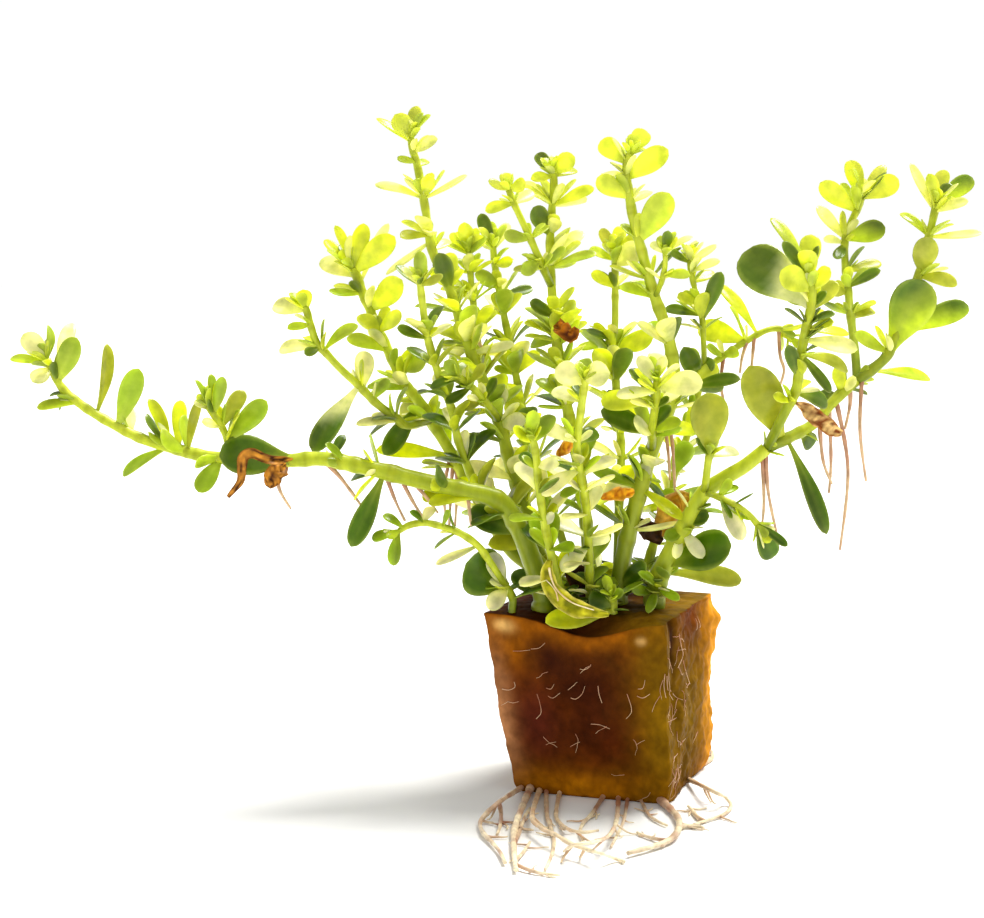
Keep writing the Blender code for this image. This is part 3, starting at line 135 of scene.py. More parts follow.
# Young leaves: those that close a shoot's tip (length in mm and lean in degrees), those between a leaf and
# its stem, more and larger at the back where the canopy is dense, and those round a shoot's foot
ROSETTE = [(4.2, 42), (3.4, 26), (2.4, 12)]
ROSETTE_WIDTH = 0.46
AXIL_LEAF_FROM = 5 * MM
AXIL_LEAF_TO = 11.5 * MM
AXIL_CHANCE = 0.4
AXIL_LOW = 58 * MM
AXIL_RISE = 18 * MM
AXIL_WIDTH = (0.42, 0.56)
# Their letters lean to yellow and near-white: painted light that keeps the dense canopy bright where its own
# leaves shade it
AXIL_PLAN = {"leaves": 2, "length": (0.48, 0.80), "tones": "yywlgwdyl"}
CROWD_PLAN = {"leaves": 3, "length": (0.6, 1.0), "tones": "yylwyywl"}
CROWD_LEFT = -40 * MM
CROWD_RIGHT = -2 * MM
CROWD_FRONT = 5 * MM
CROWD_LOW = 44 * MM
CROWD_HIGH = 118 * MM
FOOT_LEAVES = 6
FOOT_LEAF_ROWS = 7
FOOT_LEAF_LENGTH = (4 * MM, 7.5 * MM)
FOOT_LEAF_WIDTH = (0.45, 0.7)
FOOT_LEAF_REACH = 19 * MM
FOOT_TONES = "ddggow"

# Stems, dead leaves and roots
STEM_STEP = 0.6 * MM
THICK_STEM = 1.3 * MM
NODE_LENGTH = 1.0 * MM
NODE_SWELL = 0.14
STEM_RIDGE = 0.035
STEM_BURIED = 2 * MM
HAIR_ROOT = 0.42 * MM
DEAD_STEP = 0.5 * MM
DEAD_AROUND = 14
DEAD_THICK = 0.4 * MM
ROOT_STEP = 0.5 * MM
FINE_ROOT_STEP = 0.4 * MM
LATERALS = 3
ROOT_DEPTH = 2.5

# The plug's lumps and fibres. A point of its unit block that is more than SIDE from the middle is on a wall.
PLUG_CUTS = 88
SIDE = 0.49
FOLD_DEPTH = 1.6 * MM
KNOB = 1.8 * MM
RIM_DIP = 3.5 * MM
RIM_ROUND = 0.5 * MM
CLUMP = 0.45 * MM
FIBRE = 0.12 * MM
PATCH_STRENGTH = 0.95

FLOOR_RADIUS = 3.0


def srgb(red, green, blue):
    """A linear colour from the numbers 0 to 255 that a picture shows."""
    share = np.array((red, green, blue)) / 255
    return np.where(share < 0.04045, share / 12.92, ((share + 0.055) / 1.055) ** 2.4)


# Leaf tones: yellow, yellow-green, mid green, dark green, olive, near-white that is painted glare, closed
# young leaves, dark green over a lower half with a painted reflection, and dark green over a lower half with
# painted light
LEAF_TONES = {
    "y": srgb(228, 238, 30),
    "l": srgb(196, 218, 45),
    "g": srgb(158, 186, 34),
    "d": srgb(88, 124, 8),
    "o": srgb(172, 178, 45),
    "w": srgb(254, 255, 234),
    "r": srgb(200, 218, 40),
    "s": srgb(84, 122, 14),
    "b": srgb(80, 118, 6),
}
# The lower half's tone, a painted reflection for s and painted light for b, how far up the leaf it ends, how
# much further at one edge, and how soft its end is
LOWER_HALF_PAINTED_LIGHT = {"s": (srgb(250, 252, 226), 0.62, 0.12, 0.22), "b": (srgb(214, 234, 40), 0.95, 0.3, 0.6)}
LOWER_HALF_PAINTED_LIGHT_SHARE = 0.85
# Painted light: leaves between HIGH_FROM and HIGH_TO are washed towards a pale tone, the dark letters less
HIGH_PAINTED_LIGHT_TONE = srgb(240, 248, 120)
HIGH_FROM = 60 * MM
HIGH_TO = 120 * MM
HIGH_PAINTED_LIGHT_SHARE = 0.48
DARK_LETTERS = "dsb"
DARK_LEAF_PAINTED_LIGHT_SHARE = 0.15
GLOW_TINT = (1.25, 1.15, 0.6)
GLOW_SHARE = 0.48
LEAF_BASE_TONE = srgb(214, 224, 85)
LEAF_BASE_SHARE = 0.6
# The edge and tip are paler, partly the leaf's own margin and partly painted rim light; the midrib is paler
# too
RIM_TONE = srgb(222, 234, 120)
EDGE_AND_RIM_LIGHT_SHARE = 0.32
TIP_AND_RIM_LIGHT_SHARE = 0.2
MIDRIB_SHARE = 0.16
PALE_TONE = srgb(205, 218, 130)
PALE_SHARE = 0.15
STEM_FOOT_TONE = srgb(88, 106, 2)
STEM_TIP_TONE = srgb(178, 190, 40)
# Pale lengthwise streaks on the stems, partly painted highlight
STEM_STREAK_AND_HIGHLIGHT_TONE = srgb(226, 232, 96)
NODE_TONE = srgb(140, 146, 14)

# Each look of a dead leaf: its low places, its high places and its edge
DEAD_TONES = {
    "brown": (srgb(60, 28, 4), srgb(208, 148, 54), srgb(142, 90, 22)),
    "red": (srgb(78, 30, 1), srgb(172, 106, 8), srgb(172, 116, 18)),
    "orange": (srgb(190, 112, 4), srgb(236, 180, 30), srgb(248, 222, 130)),
    "gold": (srgb(196, 142, 22), srgb(244, 204, 84), srgb(250, 228, 176)),
    # Near-black: painted shadow on the dead matter that fills the crown's deepest gaps.
    "dark": (srgb(34, 20, 6), srgb(66, 40, 12), srgb(96, 64, 26)),
    "yellow": (srgb(128, 138, 10), srgb(190, 194, 36), srgb(236, 234, 130)),
    "boat": (srgb(112, 58, 8), srgb(238, 210, 142), srgb(166, 98, 26)),
}
# Roots and hairs: the tone where each starts and where it ends. A root starts in one of two tones.
ROOT_TONES = (srgb(168, 118, 92), srgb(190, 150, 112), srgb(240, 230, 198))
AERIAL_TONES = (srgb(168, 112, 86), srgb(222, 192, 150))
WOOL_HAIR_TONES = (srgb(180, 120, 90), srgb(226, 196, 160))
CROWN_HAIR_TONES = (srgb(224, 198, 140), srgb(252, 244, 208))

WOOL = {
    "brown": srgb(96, 46, 2),
    "orange": srgb(150, 86, 3),
    "dark": srgb(44, 16, 2),
    "purple": srgb(74, 28, 16),
    "tan": srgb(176, 122, 82),
    "red": srgb(72, 28, 2),
    "olive": srgb(124, 92, 2),
    "band": srgb(170, 108, 3),
    "fibre": srgb(112, 84, 6),
    # A painted glow, where light shines through the wool's edge.
    "glow": srgb(214, 146, 30),
    # A painted highlight of the wet film.
    "painted_highlight": srgb(232, 186, 112),
}
# Patches on each side of the plug: tone, middle across and up, and width and height, as shares of the side
WOOL_PATCHES = {
    "front": [("orange", 0.08, 0.86, 0.26, 0.18), ("orange", 0.55, 0.94, 0.5, 0.06),
              ("dark", 0.53, 0.60, 0.32, 0.26), ("dark", 0.36, 0.78, 0.10, 0.14),
              ("purple", 0.22, 0.40, 0.19, 0.28), ("tan", 0.00, 0.42, 0.09, 0.34),
              ("red", 0.66, 0.36, 0.22, 0.26), ("band", 0.50, 0.04, 0.60, 0.10),
              # The two small pale patches at the top of the front are painted highlights of the wet film.
              ("olive", 0.98, 0.50, 0.17, 0.70), ("painted_highlight", 0.10, 0.93, 0.05, 0.03),
              ("painted_highlight", 0.86, 0.91, 0.02, 0.02)],
    "right": [("olive", 0.05, 0.50, 0.22, 0.80), ("fibre", 0.50, 0.40, 0.45, 0.50),
              # The dark patch by the front corner is painted shade in the crevice there.
              ("brown", 0.55, 0.95, 0.25, 0.14), ("dark", 0.15, 0.86, 0.05, 0.20),
              # The glow at the back edge is painted light that shines through the wool.
              ("glow", 1.00, 0.60, 0.20, 0.80)],
    "back": [("orange", 0.85, 0.75, 0.28, 0.25), ("dark", 0.45, 0.50, 0.25, 0.25),
             ("band", 0.50, 0.03, 0.60, 0.10), ("purple", 0.75, 0.35, 0.16, 0.22)],
    "left": [("orange", 0.20, 0.85, 0.30, 0.18), ("red", 0.55, 0.50, 0.30, 0.25),
             ("band", 0.50, 0.03, 0.60, 0.10), ("fibre", 0.80, 0.35, 0.20, 0.25)],
    # The dark patch over the top is painted shade under the leaves.
    "top": [("dark", 0.45, 1.0, 0.50, 0.4), ("fibre", 1.0, 1.0, 0.25, 0.3)],
}

# Fine pale hairs that show on the plug's front: columns and rows along each, and its width in pixels
WOOL_HAIRS = [
    ([(537, 694), (540, 704), (541, 713), (536, 719)], 1.2), ([(598, 686), (599, 694), (602, 703)], 1.3),
    ([(627, 694), (631, 706), (631, 713), (626, 719)], 1.2), ([(591, 724), (600, 725), (610, 729)], 1.1),
    ([(531, 649), (539, 648), (545, 643)], 1.1), ([(513, 651), (521, 651), (530, 650)], 0.8),
    ([(502, 689), (509, 690), (515, 687), (514, 682)], 1.2), ([(548, 696), (553, 698), (560, 693)], 1.1),
    ([(571, 698), (576, 699), (582, 694), (585, 686)], 1.1), ([(637, 696), (643, 698), (650, 694)], 1.1),
    ([(568, 690), (573, 686), (577, 682)], 0.9), ([(546, 688), (551, 689), (554, 684)], 0.9),
    ([(638, 689), (643, 688), (645, 680)], 0.9), ([(546, 745), (550, 743), (556, 742)], 0.8),
    ([(570, 747), (575, 744), (580, 742)], 0.8), ([(636, 745), (641, 742), (645, 740)], 0.8),
    ([(665, 674), (664, 686), (666, 698)], 1.2), ([(667, 676), (668, 690), (673, 700)], 1.1),
    ([(660, 696), (655, 704), (652, 712)], 0.9), ([(670, 690), (676, 697), (683, 700)], 1.0),
    ([(679, 634), (681, 645), (683, 655), (678, 668)], 1.4), ([(683, 660), (686, 672), (690, 684)], 1.0),
    ([(684, 710), (676, 718), (668, 722)], 1.0), ([(663, 680), (660, 690), (662, 700)], 0.9),
]
# The same for the thin root loops that lie over the old leaf in the crown
CROWN_HAIRS = [
    ([(549, 568), (551, 577), (555, 587), (563, 596), (573, 603), (584, 607), (594, 610)], 3.0),
    ([(558, 601), (556, 592), (551, 585), (546, 580)], 2.4),
]
SEEN_HAIR_SHARE = 0.36
SEEN_HAIR_STEP = 0.3 * MM
WOOL_HAIR_RISE = 0.12 * MM
CROWN_HAIR_RISE = 0.35 * MM

# Short hairs drawn at random, half of them near one corner of the plug. A ray finds where each starts.
HAIR_COUNT = 64
HAIRY_CORNER = PLUG_TURN - math.radians(38)
HAIRY_SPREAD = 0.14
HAIR_RAY = 60 * MM
HAIR_LIFT = 0.10 * MM
HAIR_STEP = (0.5 * MM, 1.3 * MM)
HAIR_RADII = (0.07 * MM, 0.03 * MM)

# Shoots that rise from the plug's top at a crown place (column, depth in mm), and side shoots, which have
# none and fork off another. A route is (column, row, depth in mm); its width is in pixels, at the base and
# at the tip. Pairs are leaves that follow a rule: (first node and last node as shares of the length, number
# of nodes, leaf length in mm at the first node and at the last, turn of the first pair in degrees). A leaf
# drawn on the picture is (column and row of its base, column and row of its tip, width in pixels, depth of
# the tip past its base in mm, roll in degrees). Each leaf has a letter in tones, the drawn ones first, and
# draws one once they run out.
SHOOTS = {}
SHOOTS["trailing_shoot"] = dict(
    crown=(543, -9), width=(21, 7), pairs=(0.17, 0.40, 3, 9, 8, 30), tones="wglwgwdlogwyyoggdgdddyd",
    route=[
        (537, 585, -9), (528, 550, -10), (517, 525, -11), (505, 506, -12), (488, 496, -13),
        (460, 490, -14), (425, 482, -14), (385, 472, -14), (350, 464, -14), (320, 459, -13),
        (285, 461, -13), (250, 459, -12), (210, 457, -11), (175, 449, -10), (140, 438, -10),
        (105, 420, -9), (80, 404, -9), (62, 388, -9), (52, 370, -9), (47, 359, -9),
    ],
    leaves=[
        (45, 361, 25, 334, 20, -2, 10), (47, 360, 53, 325, 10, 2, 50), (44, 364, 10, 353, 9, 1, 50),
        (48, 367, 33, 381, 16, -4, 20), (58, 384, 75, 340, 22, -3, 10), (60, 380, 69, 318, 9, 5, 55),
        (66, 392, 55, 408, 9, 3, 40), (78, 402, 37, 403, 8, -2, 60), (96, 414, 113, 345, 12, 3, 50),
        (120, 427, 136, 372, 22, -3, 10), (130, 433, 128, 405, 13, 4, 30),
        (170, 447, 155, 400, 14, -3, 30), (176, 449, 180, 398, 13, 4, 30),
        (190, 454, 193, 402, 10, -4, 40), (168, 447, 118, 470, 10, 2, 50),
        (222, 458, 198, 491, 18, -4, 20), (296, 462, 222, 453, 40, -6, 20),
        (345, 461, 328, 443, 9, -3, 40), (332, 459, 343, 432, 8, 3, 40), (383, 469, 350, 545, 20, -5, 15),
        (385, 469, 348, 476, 11, 5, 40), (487, 492, 430, 496, 9, -4, 60), (542, 598, 514, 570, 22, 4, 20),
    ],
    hair_roots=[
        [(385, 474), (395, 500), (405, 521)], [(398, 478), (412, 500), (425, 521)],
        [(410, 478), (427, 498), (438, 513)], [(320, 462), (340, 477), (365, 511)],
        [(467, 490), (469, 507), (471, 526)], [(275, 462), (279, 488), (291, 509)],
    ],
)
SHOOTS["tall_left_shoot"] = dict(
    crown=(556, 3), width=(15, 7), pairs=(0.20, 0.62, 7, 10, 9, 20), tones="lyogwggwwyowwdywwwowwo",
    route=[
        (550, 585, 3), (541, 560, 3), (528, 515, 3), (515, 480, 4), (508, 455, 4), (502, 430, 5),
        (493, 405, 6), (482, 378, 7), (470, 350, 8), (460, 320, 9), (452, 295, 10), (442, 272, 11),
        (433, 252, 12), (429, 235, 12), (426, 212, 13), (422, 190, 13), (418, 168, 14), (413, 150, 14),
        (411, 138, 14),
    ],
    leaves=[
        (411, 141, 378, 115, 8, 2, 50), (411, 138, 397, 116, 20, -3, 10), (412, 138, 416, 104, 10, 3, 45),
        (413, 140, 428, 113, 6, -1, 60), (415, 152, 433, 138, 12, -4, 30), (417, 164, 400, 157, 8, -3, 50),
        (419, 166, 428, 158, 8, 4, 40), (422, 200, 376, 180, 8, 3, 60), (424, 200, 466, 174, 8, -2, 60),
        (425, 195, 431, 177, 14, -6, 20), (430, 240, 402, 234, 8, -6, 60), (430, 242, 382, 270, 10, 3, 50),
        (434, 252, 451, 236, 9, 5, 40), (452, 290, 440, 256, 20, -4, 10), (455, 292, 456, 262, 12, 4, 20),
        (512, 478, 465, 464, 14, -7, 40), (500, 425, 518, 420, 18, -8, 10),
        (470, 350, 445, 352, 18, 6, 30), (554, 598, 548, 556, 26, -5, 20),
        (472, 356, 513, 342, 10, -2, 40), (495, 411, 503, 389, 14, -4, 20),
        (536, 546, 493, 540, 16, -8, 40),
    ],
    hair_roots=[[(461, 312), (472, 332), (487, 356)]],
)
SHOOTS["tall_left_side_shoot"] = dict(
    width=(8, 6), pairs=(0.45, 0.75, 2, 5.5, 5, 10), tones="gdgdo",
    route=[(499, 420, 5), (488, 405, -1), (478, 393, -4), (467, 383, -6), (458, 376, -7)],
    leaves=[
        (458, 377, 446, 362, 14, -2, 10), (462, 380, 431, 384, 7, -3, 50), (465, 381, 461, 360, 9, 3, 30),
        (470, 386, 446, 402, 8, -4, 50), (468, 384, 484, 364, 10, -2, 30),
    ],
)
SHOOTS["slim_left_shoot"] = dict(
    crown=(573, -3), width=(9, 7), pairs=(0.30, 0.86, 7, 10, 7, 50), tones="gdodwd",
    route=[
        (563, 590, -3), (545, 565, -3), (520, 535, -3), (495, 508, -3), (478, 490, -3), (468, 468, -3),
        (458, 440, -4), (452, 410, -5), (442, 385, -6), (434, 360, -7), (427, 335, -8), (422, 300, -9),
        (420, 281, -10),
    ],
    leaves=[
        (420, 284, 421, 253, 13, -2, 10), (419, 286, 397, 263, 8, 2, 50), (421, 288, 441, 276, 10, -4, 30),
        (427, 340, 398, 327, 9, -4, 50), (428, 342, 451, 322, 7, 3, 50), (516, 531, 470, 512, 28, -3, 15),
    ],
)
SHOOTS["leaning_left_shoot"] = dict(
    crown=(547, 12), width=(14, 9), pairs=(0.26, 0.80, 5, 9, 8, 70), tones="yyyywywygllgdoly",
    route=[
        (535, 580, 12), (515, 555, 12), (495, 528, 12), (475, 495, 12), (455, 460, 12), (440, 435, 13),
        (420, 403, 14), (405, 385, 15), (397, 370, 16), (390, 355, 17), (383, 340, 18), (375, 325, 19),
        (370, 310, 20), (363, 295, 21), (358, 280, 22), (353, 268, 22),
    ],
    leaves=[
        (353, 270, 325, 238, 12, 2, 30), (354, 268, 340, 226, 10, -3, 30),
        (355, 266, 364, 224, 19, -2, 10), (356, 270, 389, 238, 24, -5, 15),
        (360, 285, 387, 221, 10, 6, 40), (370, 311, 399, 281, 26, -4, 15), (354, 276, 319, 256, 20, 5, 20),
        (380, 332, 400, 313, 15, -6, 25), (362, 295, 330, 290, 9, -4, 50),
        (389, 352, 350, 334, 12, -3, 45), (397, 368, 425, 359, 20, -5, 20),
        (409, 390, 371, 382, 10, -5, 50), (420, 406, 385, 452, 20, -10, 15),
        (418, 404, 396, 412, 17, 5, 20), (452, 455, 432, 405, 24, 6, 15), (452, 456, 380, 444, 16, -4, 30),
    ],
    hair_roots=[
        [(455, 456), (451, 490), (449, 528)], [(458, 458), (457, 490), (455, 526)],
        [(451, 454), (444, 490), (446, 520)],
    ],
)
SHOOTS["low_left_side_shoot"] = dict(
    width=(9, 7), pairs=(0.24, 0.24, 1, 7, 7, 0), tones="ywlwdlwswg",
    route=[
        (430, 420, 13), (416, 424, 7), (405, 425, 5), (395, 417, 4), (385, 410, 4), (375, 402, 4),
        (365, 392, 4), (355, 382, 4), (345, 373, 4), (335, 363, 4), (325, 352, 4), (318, 345, 4),
        (312, 330, 4), (308, 315, 4), (305, 306, 4),
    ],
    leaves=[
        (305, 309, 303, 290, 16, -2, 10), (305, 312, 272, 303, 19, 3, 25), (310, 325, 289, 326, 9, -3, 40),
        (320, 348, 277, 345, 13, 3, 40), (319, 347, 305, 353, 9, -4, 30), (324, 350, 352, 322, 11, -3, 45),
        (362, 389, 365, 350, 20, 3, 10), (358, 385, 312, 450, 24, -5, 15),
        (400, 423, 357, 421, 10, -3, 50), (374, 401, 388, 378, 9, 4, 40),
    ],
)
SHOOTS["crown_front_shoot"] = dict(
    crown=(614, -13), width=(7, 6), tones="ydg",
    route=[(614, 610, -13), (613, 603, -13), (612, 596, -14)],
    leaves=[
        (614, 608, 549, 617, 22, -4, 35), (613, 604, 590, 597, 22, -2, 15),
        (613, 600, 622, 590, 9, -2, 30),
    ],
)
SHOOTS["low_front_shoot"] = dict(
    crown=(512, -11), width=(8, 6), pairs=(0.66, 0.66, 1, 5, 5, 0), tones="gggwdgwdww",
    route=[
        (505, 590, -13), (500, 578, -14), (490, 562, -16), (480, 548, -17), (468, 538, -18),
        (455, 531, -18), (440, 526, -18), (425, 523, -18), (410, 525, -18), (399, 531, -18),
    ],
    leaves=[
        (399, 532, 370, 537, 11, 2, 25), (398, 533, 392, 565, 13, -2, 20), (402, 530, 386, 514, 9, -2, 40),
        (425, 524, 433, 505, 9, 3, 40), (424, 524, 413, 511, 7, -3, 40), (441, 527, 448, 511, 8, -3, 40),
        (479, 547, 436, 559, 8, -3, 50), (504, 590, 468, 563, 46, -3, 20),
        (504, 590, 490, 606, 16, -6, 20), (502, 584, 490, 555, 20, -3, 20),
    ],
)
SHOOTS["middle_shoot"] = dict(
    crown=(598, 1), width=(14, 7), pairs=(0.20, 0.62, 6, 10, 9, 40), tones="dyyoywdwgdygl",
    route=[
        (594, 585, 1), (590, 565, 1), (586, 520, 2), (581, 480, 3), (575, 445, 4), (568, 410, 5),
        (560, 370, 6), (556, 330, 7), (552, 290, 8), (550, 250, 9), (552, 210, 10), (554, 185, 10),
        (553, 172, 10),
    ],
    leaves=[
        (553, 175, 537, 151, 13, 3, 20), (553, 174, 573, 157, 18, -4, 20), (552, 178, 533, 176, 9, -3, 40),
        (554, 176, 577, 168, 10, 4, 40), (552, 204, 590, 183, 10, -2, 50), (552, 205, 522, 181, 10, 3, 50),
        (550, 238, 535, 209, 20, -4, 10), (551, 266, 582, 229, 13, 4, 40), (551, 270, 592, 247, 9, -3, 55),
        (554, 318, 531, 302, 13, -5, 35), (555, 318, 579, 303, 13, 5, 35), (557, 345, 528, 341, 14, 5, 30),
        (557, 348, 578, 320, 9, -4, 40),
    ],
)
SHOOTS["middle_side_shoot"] = dict(
    width=(8, 6), pairs=(0.20, 0.20, 1, 6, 6, 0), tones="yoyywglg",
    route=[
        (551, 285, 8), (545, 272, 4), (538, 256, 2), (531, 240, 1), (524, 225, 0), (517, 210, 0),
        (512, 199, 0), (509, 190, 0),
    ],
    leaves=[
        (509, 192, 505, 172, 14, 2, 10), (509, 191, 490, 180, 10, -2, 30),
        (510, 192, 525, 182, 14, -2, 20), (515, 204, 486, 208, 10, -2, 40),
        (514, 203, 533, 190, 12, 4, 30), (531, 240, 505, 234, 12, -3, 30), (530, 238, 548, 222, 9, 4, 40),
        (540, 260, 524, 270, 14, -5, 20),
    ],
)
SHOOTS["back_left_shoot"] = dict(
    crown=(586, 10), width=(9, 7), pairs=(0.22, 0.80, 8, 10, 8, 10), tones="dwygd",
    route=[
        (578, 590, 10), (570, 560, 11), (556, 520, 12), (545, 490, 14), (537, 460, 16), (528, 430, 18),
        (520, 395, 20), (515, 370, 21), (510, 345, 22), (504, 315, 23), (499, 290, 24), (495, 265, 25),
        (493, 246, 25),
    ],
    leaves=[
        (493, 250, 481, 213, 14, 2, 15), (493, 250, 508, 222, 10, 4, 40), (495, 263, 512, 261, 11, -4, 30),
        (498, 290, 479, 274, 16, -4, 20), (500, 296, 533, 285, 10, 3, 40),
    ],
)
SHOOTS["upper_left_side_shoot"] = dict(
    width=(8, 6), pairs=(0.25, 0.82, 4, 8, 6, 30), tones="yyg",
    route=[(484, 382, 7), (480, 358, 14), (476, 325, 17), (472, 292, 18), (470, 268, 18), (469, 250, 18)],
    leaves=[
        (469, 253, 451, 232, 12, 2, 20), (469, 252, 465, 225, 16, -3, 10),
        (470, 254, 484, 236, 11, -2, 30),
    ],
)
SHOOTS["front_shoot"] = dict(
    crown=(590, -11), width=(9, 7), pairs=(0.20, 0.62, 5, 9, 8, 60), tones="wwgwwdwwwwg",
    route=[
        (589, 590, -12), (588, 540, -15), (585, 500, -18), (580, 470, -20), (577, 445, -22),
        (579, 425, -24), (583, 395, -26), (585, 378, -27),
    ],
    leaves=[
        (585, 381, 558, 368, 22, -2, 20), (585, 380, 606, 372, 23, -4, 20),
        (585, 380, 585, 357, 14, 3, 10), (582, 400, 552, 388, 14, 4, 30), (577, 446, 543, 424, 13, -2, 30),
        (577, 446, 598, 428, 14, 3, 30), (580, 474, 542, 492, 14, -3, 35), (581, 476, 615, 456, 15, 3, 35),
        (588, 543, 562, 568, 16, -3, 25), (588, 545, 609, 531, 14, 3, 25), (582, 490, 561, 493, 8, -2, 40),
    ],
)
SHOOTS["inner_left_shoot"] = dict(
    crown=(562, -13), width=(9, 7), pairs=(0.18, 0.70, 4, 9, 8, 30), tones="wdgylgw",
    route=[
        (558, 588, -14), (550, 550, -17), (543, 515, -20), (538, 480, -22), (536, 455, -24),
        (532, 438, -25),
    ],
    leaves=[
        (536, 468, 557, 463, 14, -3, 25), (537, 470, 521, 450, 11, 3, 30), (533, 442, 553, 415, 17, 2, 20),
        (533, 441, 514, 428, 12, -3, 30), (532, 440, 533, 412, 13, -2, 15),
        (550, 550, 541, 508, 30, 3, 10), (541, 530, 552, 515, 9, -3, 20),
    ],
)
SHOOTS["back_right_shoot"] = dict(
    crown=(641, 9), width=(10, 7), pairs=(0.22, 0.86, 7, 10, 8, 0), tones="gy",
    route=[
        (644, 588, 9), (652, 550, 12), (664, 505, 17), (676, 470, 22), (686, 440, 27), (694, 410, 31),
        (700, 387, 34),
    ],
    leaves=[(700, 390, 716, 368, 12, -3, 20), (700, 390, 684, 372, 12, 3, 25)],
)
SHOOTS["back_shoot"] = dict(
    crown=(617, 12), width=(10, 7), pairs=(0.20, 0.70, 7, 10, 9, 15), tones="oyywlygyldy",
    route=[
        (617, 585, 12), (618, 540, 15), (619, 500, 18), (621, 460, 21), (620, 430, 24), (617, 400, 27),
        (614, 350, 31), (615, 320, 33), (615, 290, 34), (615, 264, 35), (615, 252, 35),
    ],
    leaves=[
        (615, 255, 602, 227, 12, 2, 20), (615, 254, 621, 225, 14, 3, 20), (615, 254, 637, 235, 13, -3, 20),
        (615, 264, 641, 246, 22, -4, 25), (615, 262, 591, 248, 9, -3, 50),
        (615, 287, 594, 272, 12, -3, 40), (615, 290, 649, 283, 11, 3, 40),
        (614, 350, 650, 337, 24, -5, 20), (614, 345, 577, 346, 9, 3, 50), (614, 345, 588, 329, 7, -4, 50),
        (615, 376, 598, 352, 20, -6, 15),
    ],
)
SHOOTS["tall_middle_shoot"] = dict(
    crown=(618, -4), width=(18, 8), pairs=(0.16, 0.72, 5, 10, 9, 0), tones="yyyylwwglgwddywgdy",
    route=[
        (620, 590, -4), (622, 565, -4), (627, 540, -4), (636, 505, -5), (644, 475, -5), (652, 450, -5),
        (662, 425, -5), (672, 400, -4), (674, 375, -3), (671, 350, -2), (665, 325, -2), (656, 300, -1),
        (647, 270, 0), (640, 245, 0), (634, 222, 1), (630, 200, 1), (627, 180, 2), (627, 165, 2),
        (630, 154, 2),
    ],
    leaves=[
        (627, 165, 600, 139, 20, 2, 10), (630, 155, 646, 129, 19, 2, 10), (627, 178, 665, 150, 23, -4, 10),
        (629, 198, 598, 178, 19, -4, 15), (639, 240, 668, 194, 28, -4, 5), (631, 205, 651, 189, 7, 3, 60),
        (627, 180, 602, 170, 7, 4, 60), (638, 240, 622, 222, 9, 4, 40), (656, 300, 620, 284, 12, 3, 40),
        (640, 487, 592, 466, 12, -3, 40), (640, 488, 600, 490, 16, 4, 40), (640, 484, 635, 457, 8, -4, 40),
        (645, 480, 671, 502, 9, 2, 50), (642, 490, 682, 517, 10, -5, 50), (670, 345, 640, 322, 12, -4, 40),
        (621, 580, 598, 590, 18, -8, 15), (620, 590, 641, 566, 18, -8, 20),
        (619, 594, 604, 560, 16, 5, 20),
    ],
    hair_roots=[[(668, 410), (672, 440), (675, 491)], [(664, 418), (668, 450), (670, 480)]],
)
SHOOTS["thin_top_side_shoot"] = dict(
    width=(6, 5), pairs=(0.45, 0.45, 1, 4, 4, 0), tones="dwwl",
    route=[(655, 297, -1), (661, 283, -5), (665, 266, -7), (665, 254, -8)],
    leaves=[
        (665, 255, 668, 231, 10, -2, 15), (665, 256, 651, 242, 8, 2, 30), (665, 256, 690, 234, 8, -1, 45),
        (663, 276, 688, 272, 9, -3, 40),
    ],
)
SHOOTS["front_right_side_shoot"] = dict(
    width=(9, 7), pairs=(0.60, 0.60, 1, 6, 6, 20), tones="wwwwydgy",
    route=[
        (652, 450, -5), (652, 432, -11), (654, 415, -14), (656, 400, -16), (657, 388, -17),
        (657, 379, -18),
    ],
    leaves=[
        (657, 381, 657, 350, 20, 2, 10), (657, 383, 641, 357, 13, -3, 25),
        (657, 388, 701, 380, 23, -3, 20), (656, 391, 619, 391, 11, -3, 40),
        (655, 400, 600, 399, 19, 3, 25), (652, 433, 606, 410, 23, -4, 15), (652, 434, 681, 428, 9, -3, 50),
        (653, 430, 697, 425, 14, 4, 40),
    ],
)
SHOOTS["arching_side_shoot"] = dict(
    width=(8, 6), pairs=(0.92, 0.92, 1, 5, 5, 30), tones="yyddg",
    route=[
        (672, 402, -4), (690, 388, 3), (705, 370, 7), (722, 357, 9), (745, 342, 11), (765, 331, 12),
        (780, 329, 13), (790, 337, 13),
    ],
    leaves=[
        (745, 341, 698, 325, 24, 3, 15), (757, 334, 722, 280, 12, 4, 40), (699, 377, 687, 352, 20, -4, 10),
        (692, 386, 736, 376, 15, -6, 30), (722, 357, 708, 346, 9, -5, 40),
    ],
    hair_roots=[
        [(722, 357), (721, 385), (726, 410)], [(747, 341), (742, 358), (740, 373)],
        [(752, 338), (751, 374)], [(778, 330), (780, 355), (784, 370), (780, 386)],
    ],
)
SHOOTS["upper_right_side_shoot"] = dict(
    width=(6, 5), pairs=(0.40, 0.40, 1, 5, 5, 0), tones="gdwwyddy",
    route=[
        (703, 372, 7), (704, 355, 2), (703, 335, 0), (702, 318, 0), (698, 300, 0), (693, 282, 0),
        (690, 268, 0), (690, 258, 0),
    ],
    leaves=[
        (690, 260, 690, 243, 11, 2, 10), (690, 262, 671, 249, 9, -2, 30), (690, 264, 716, 243, 8, 2, 45),
        (691, 272, 717, 258, 8, -3, 45), (693, 283, 714, 270, 12, 4, 25), (702, 319, 720, 273, 16, -3, 10),
        (700, 316, 665, 304, 9, 3, 50), (698, 300, 680, 297, 13, -4, 25),
    ],
)
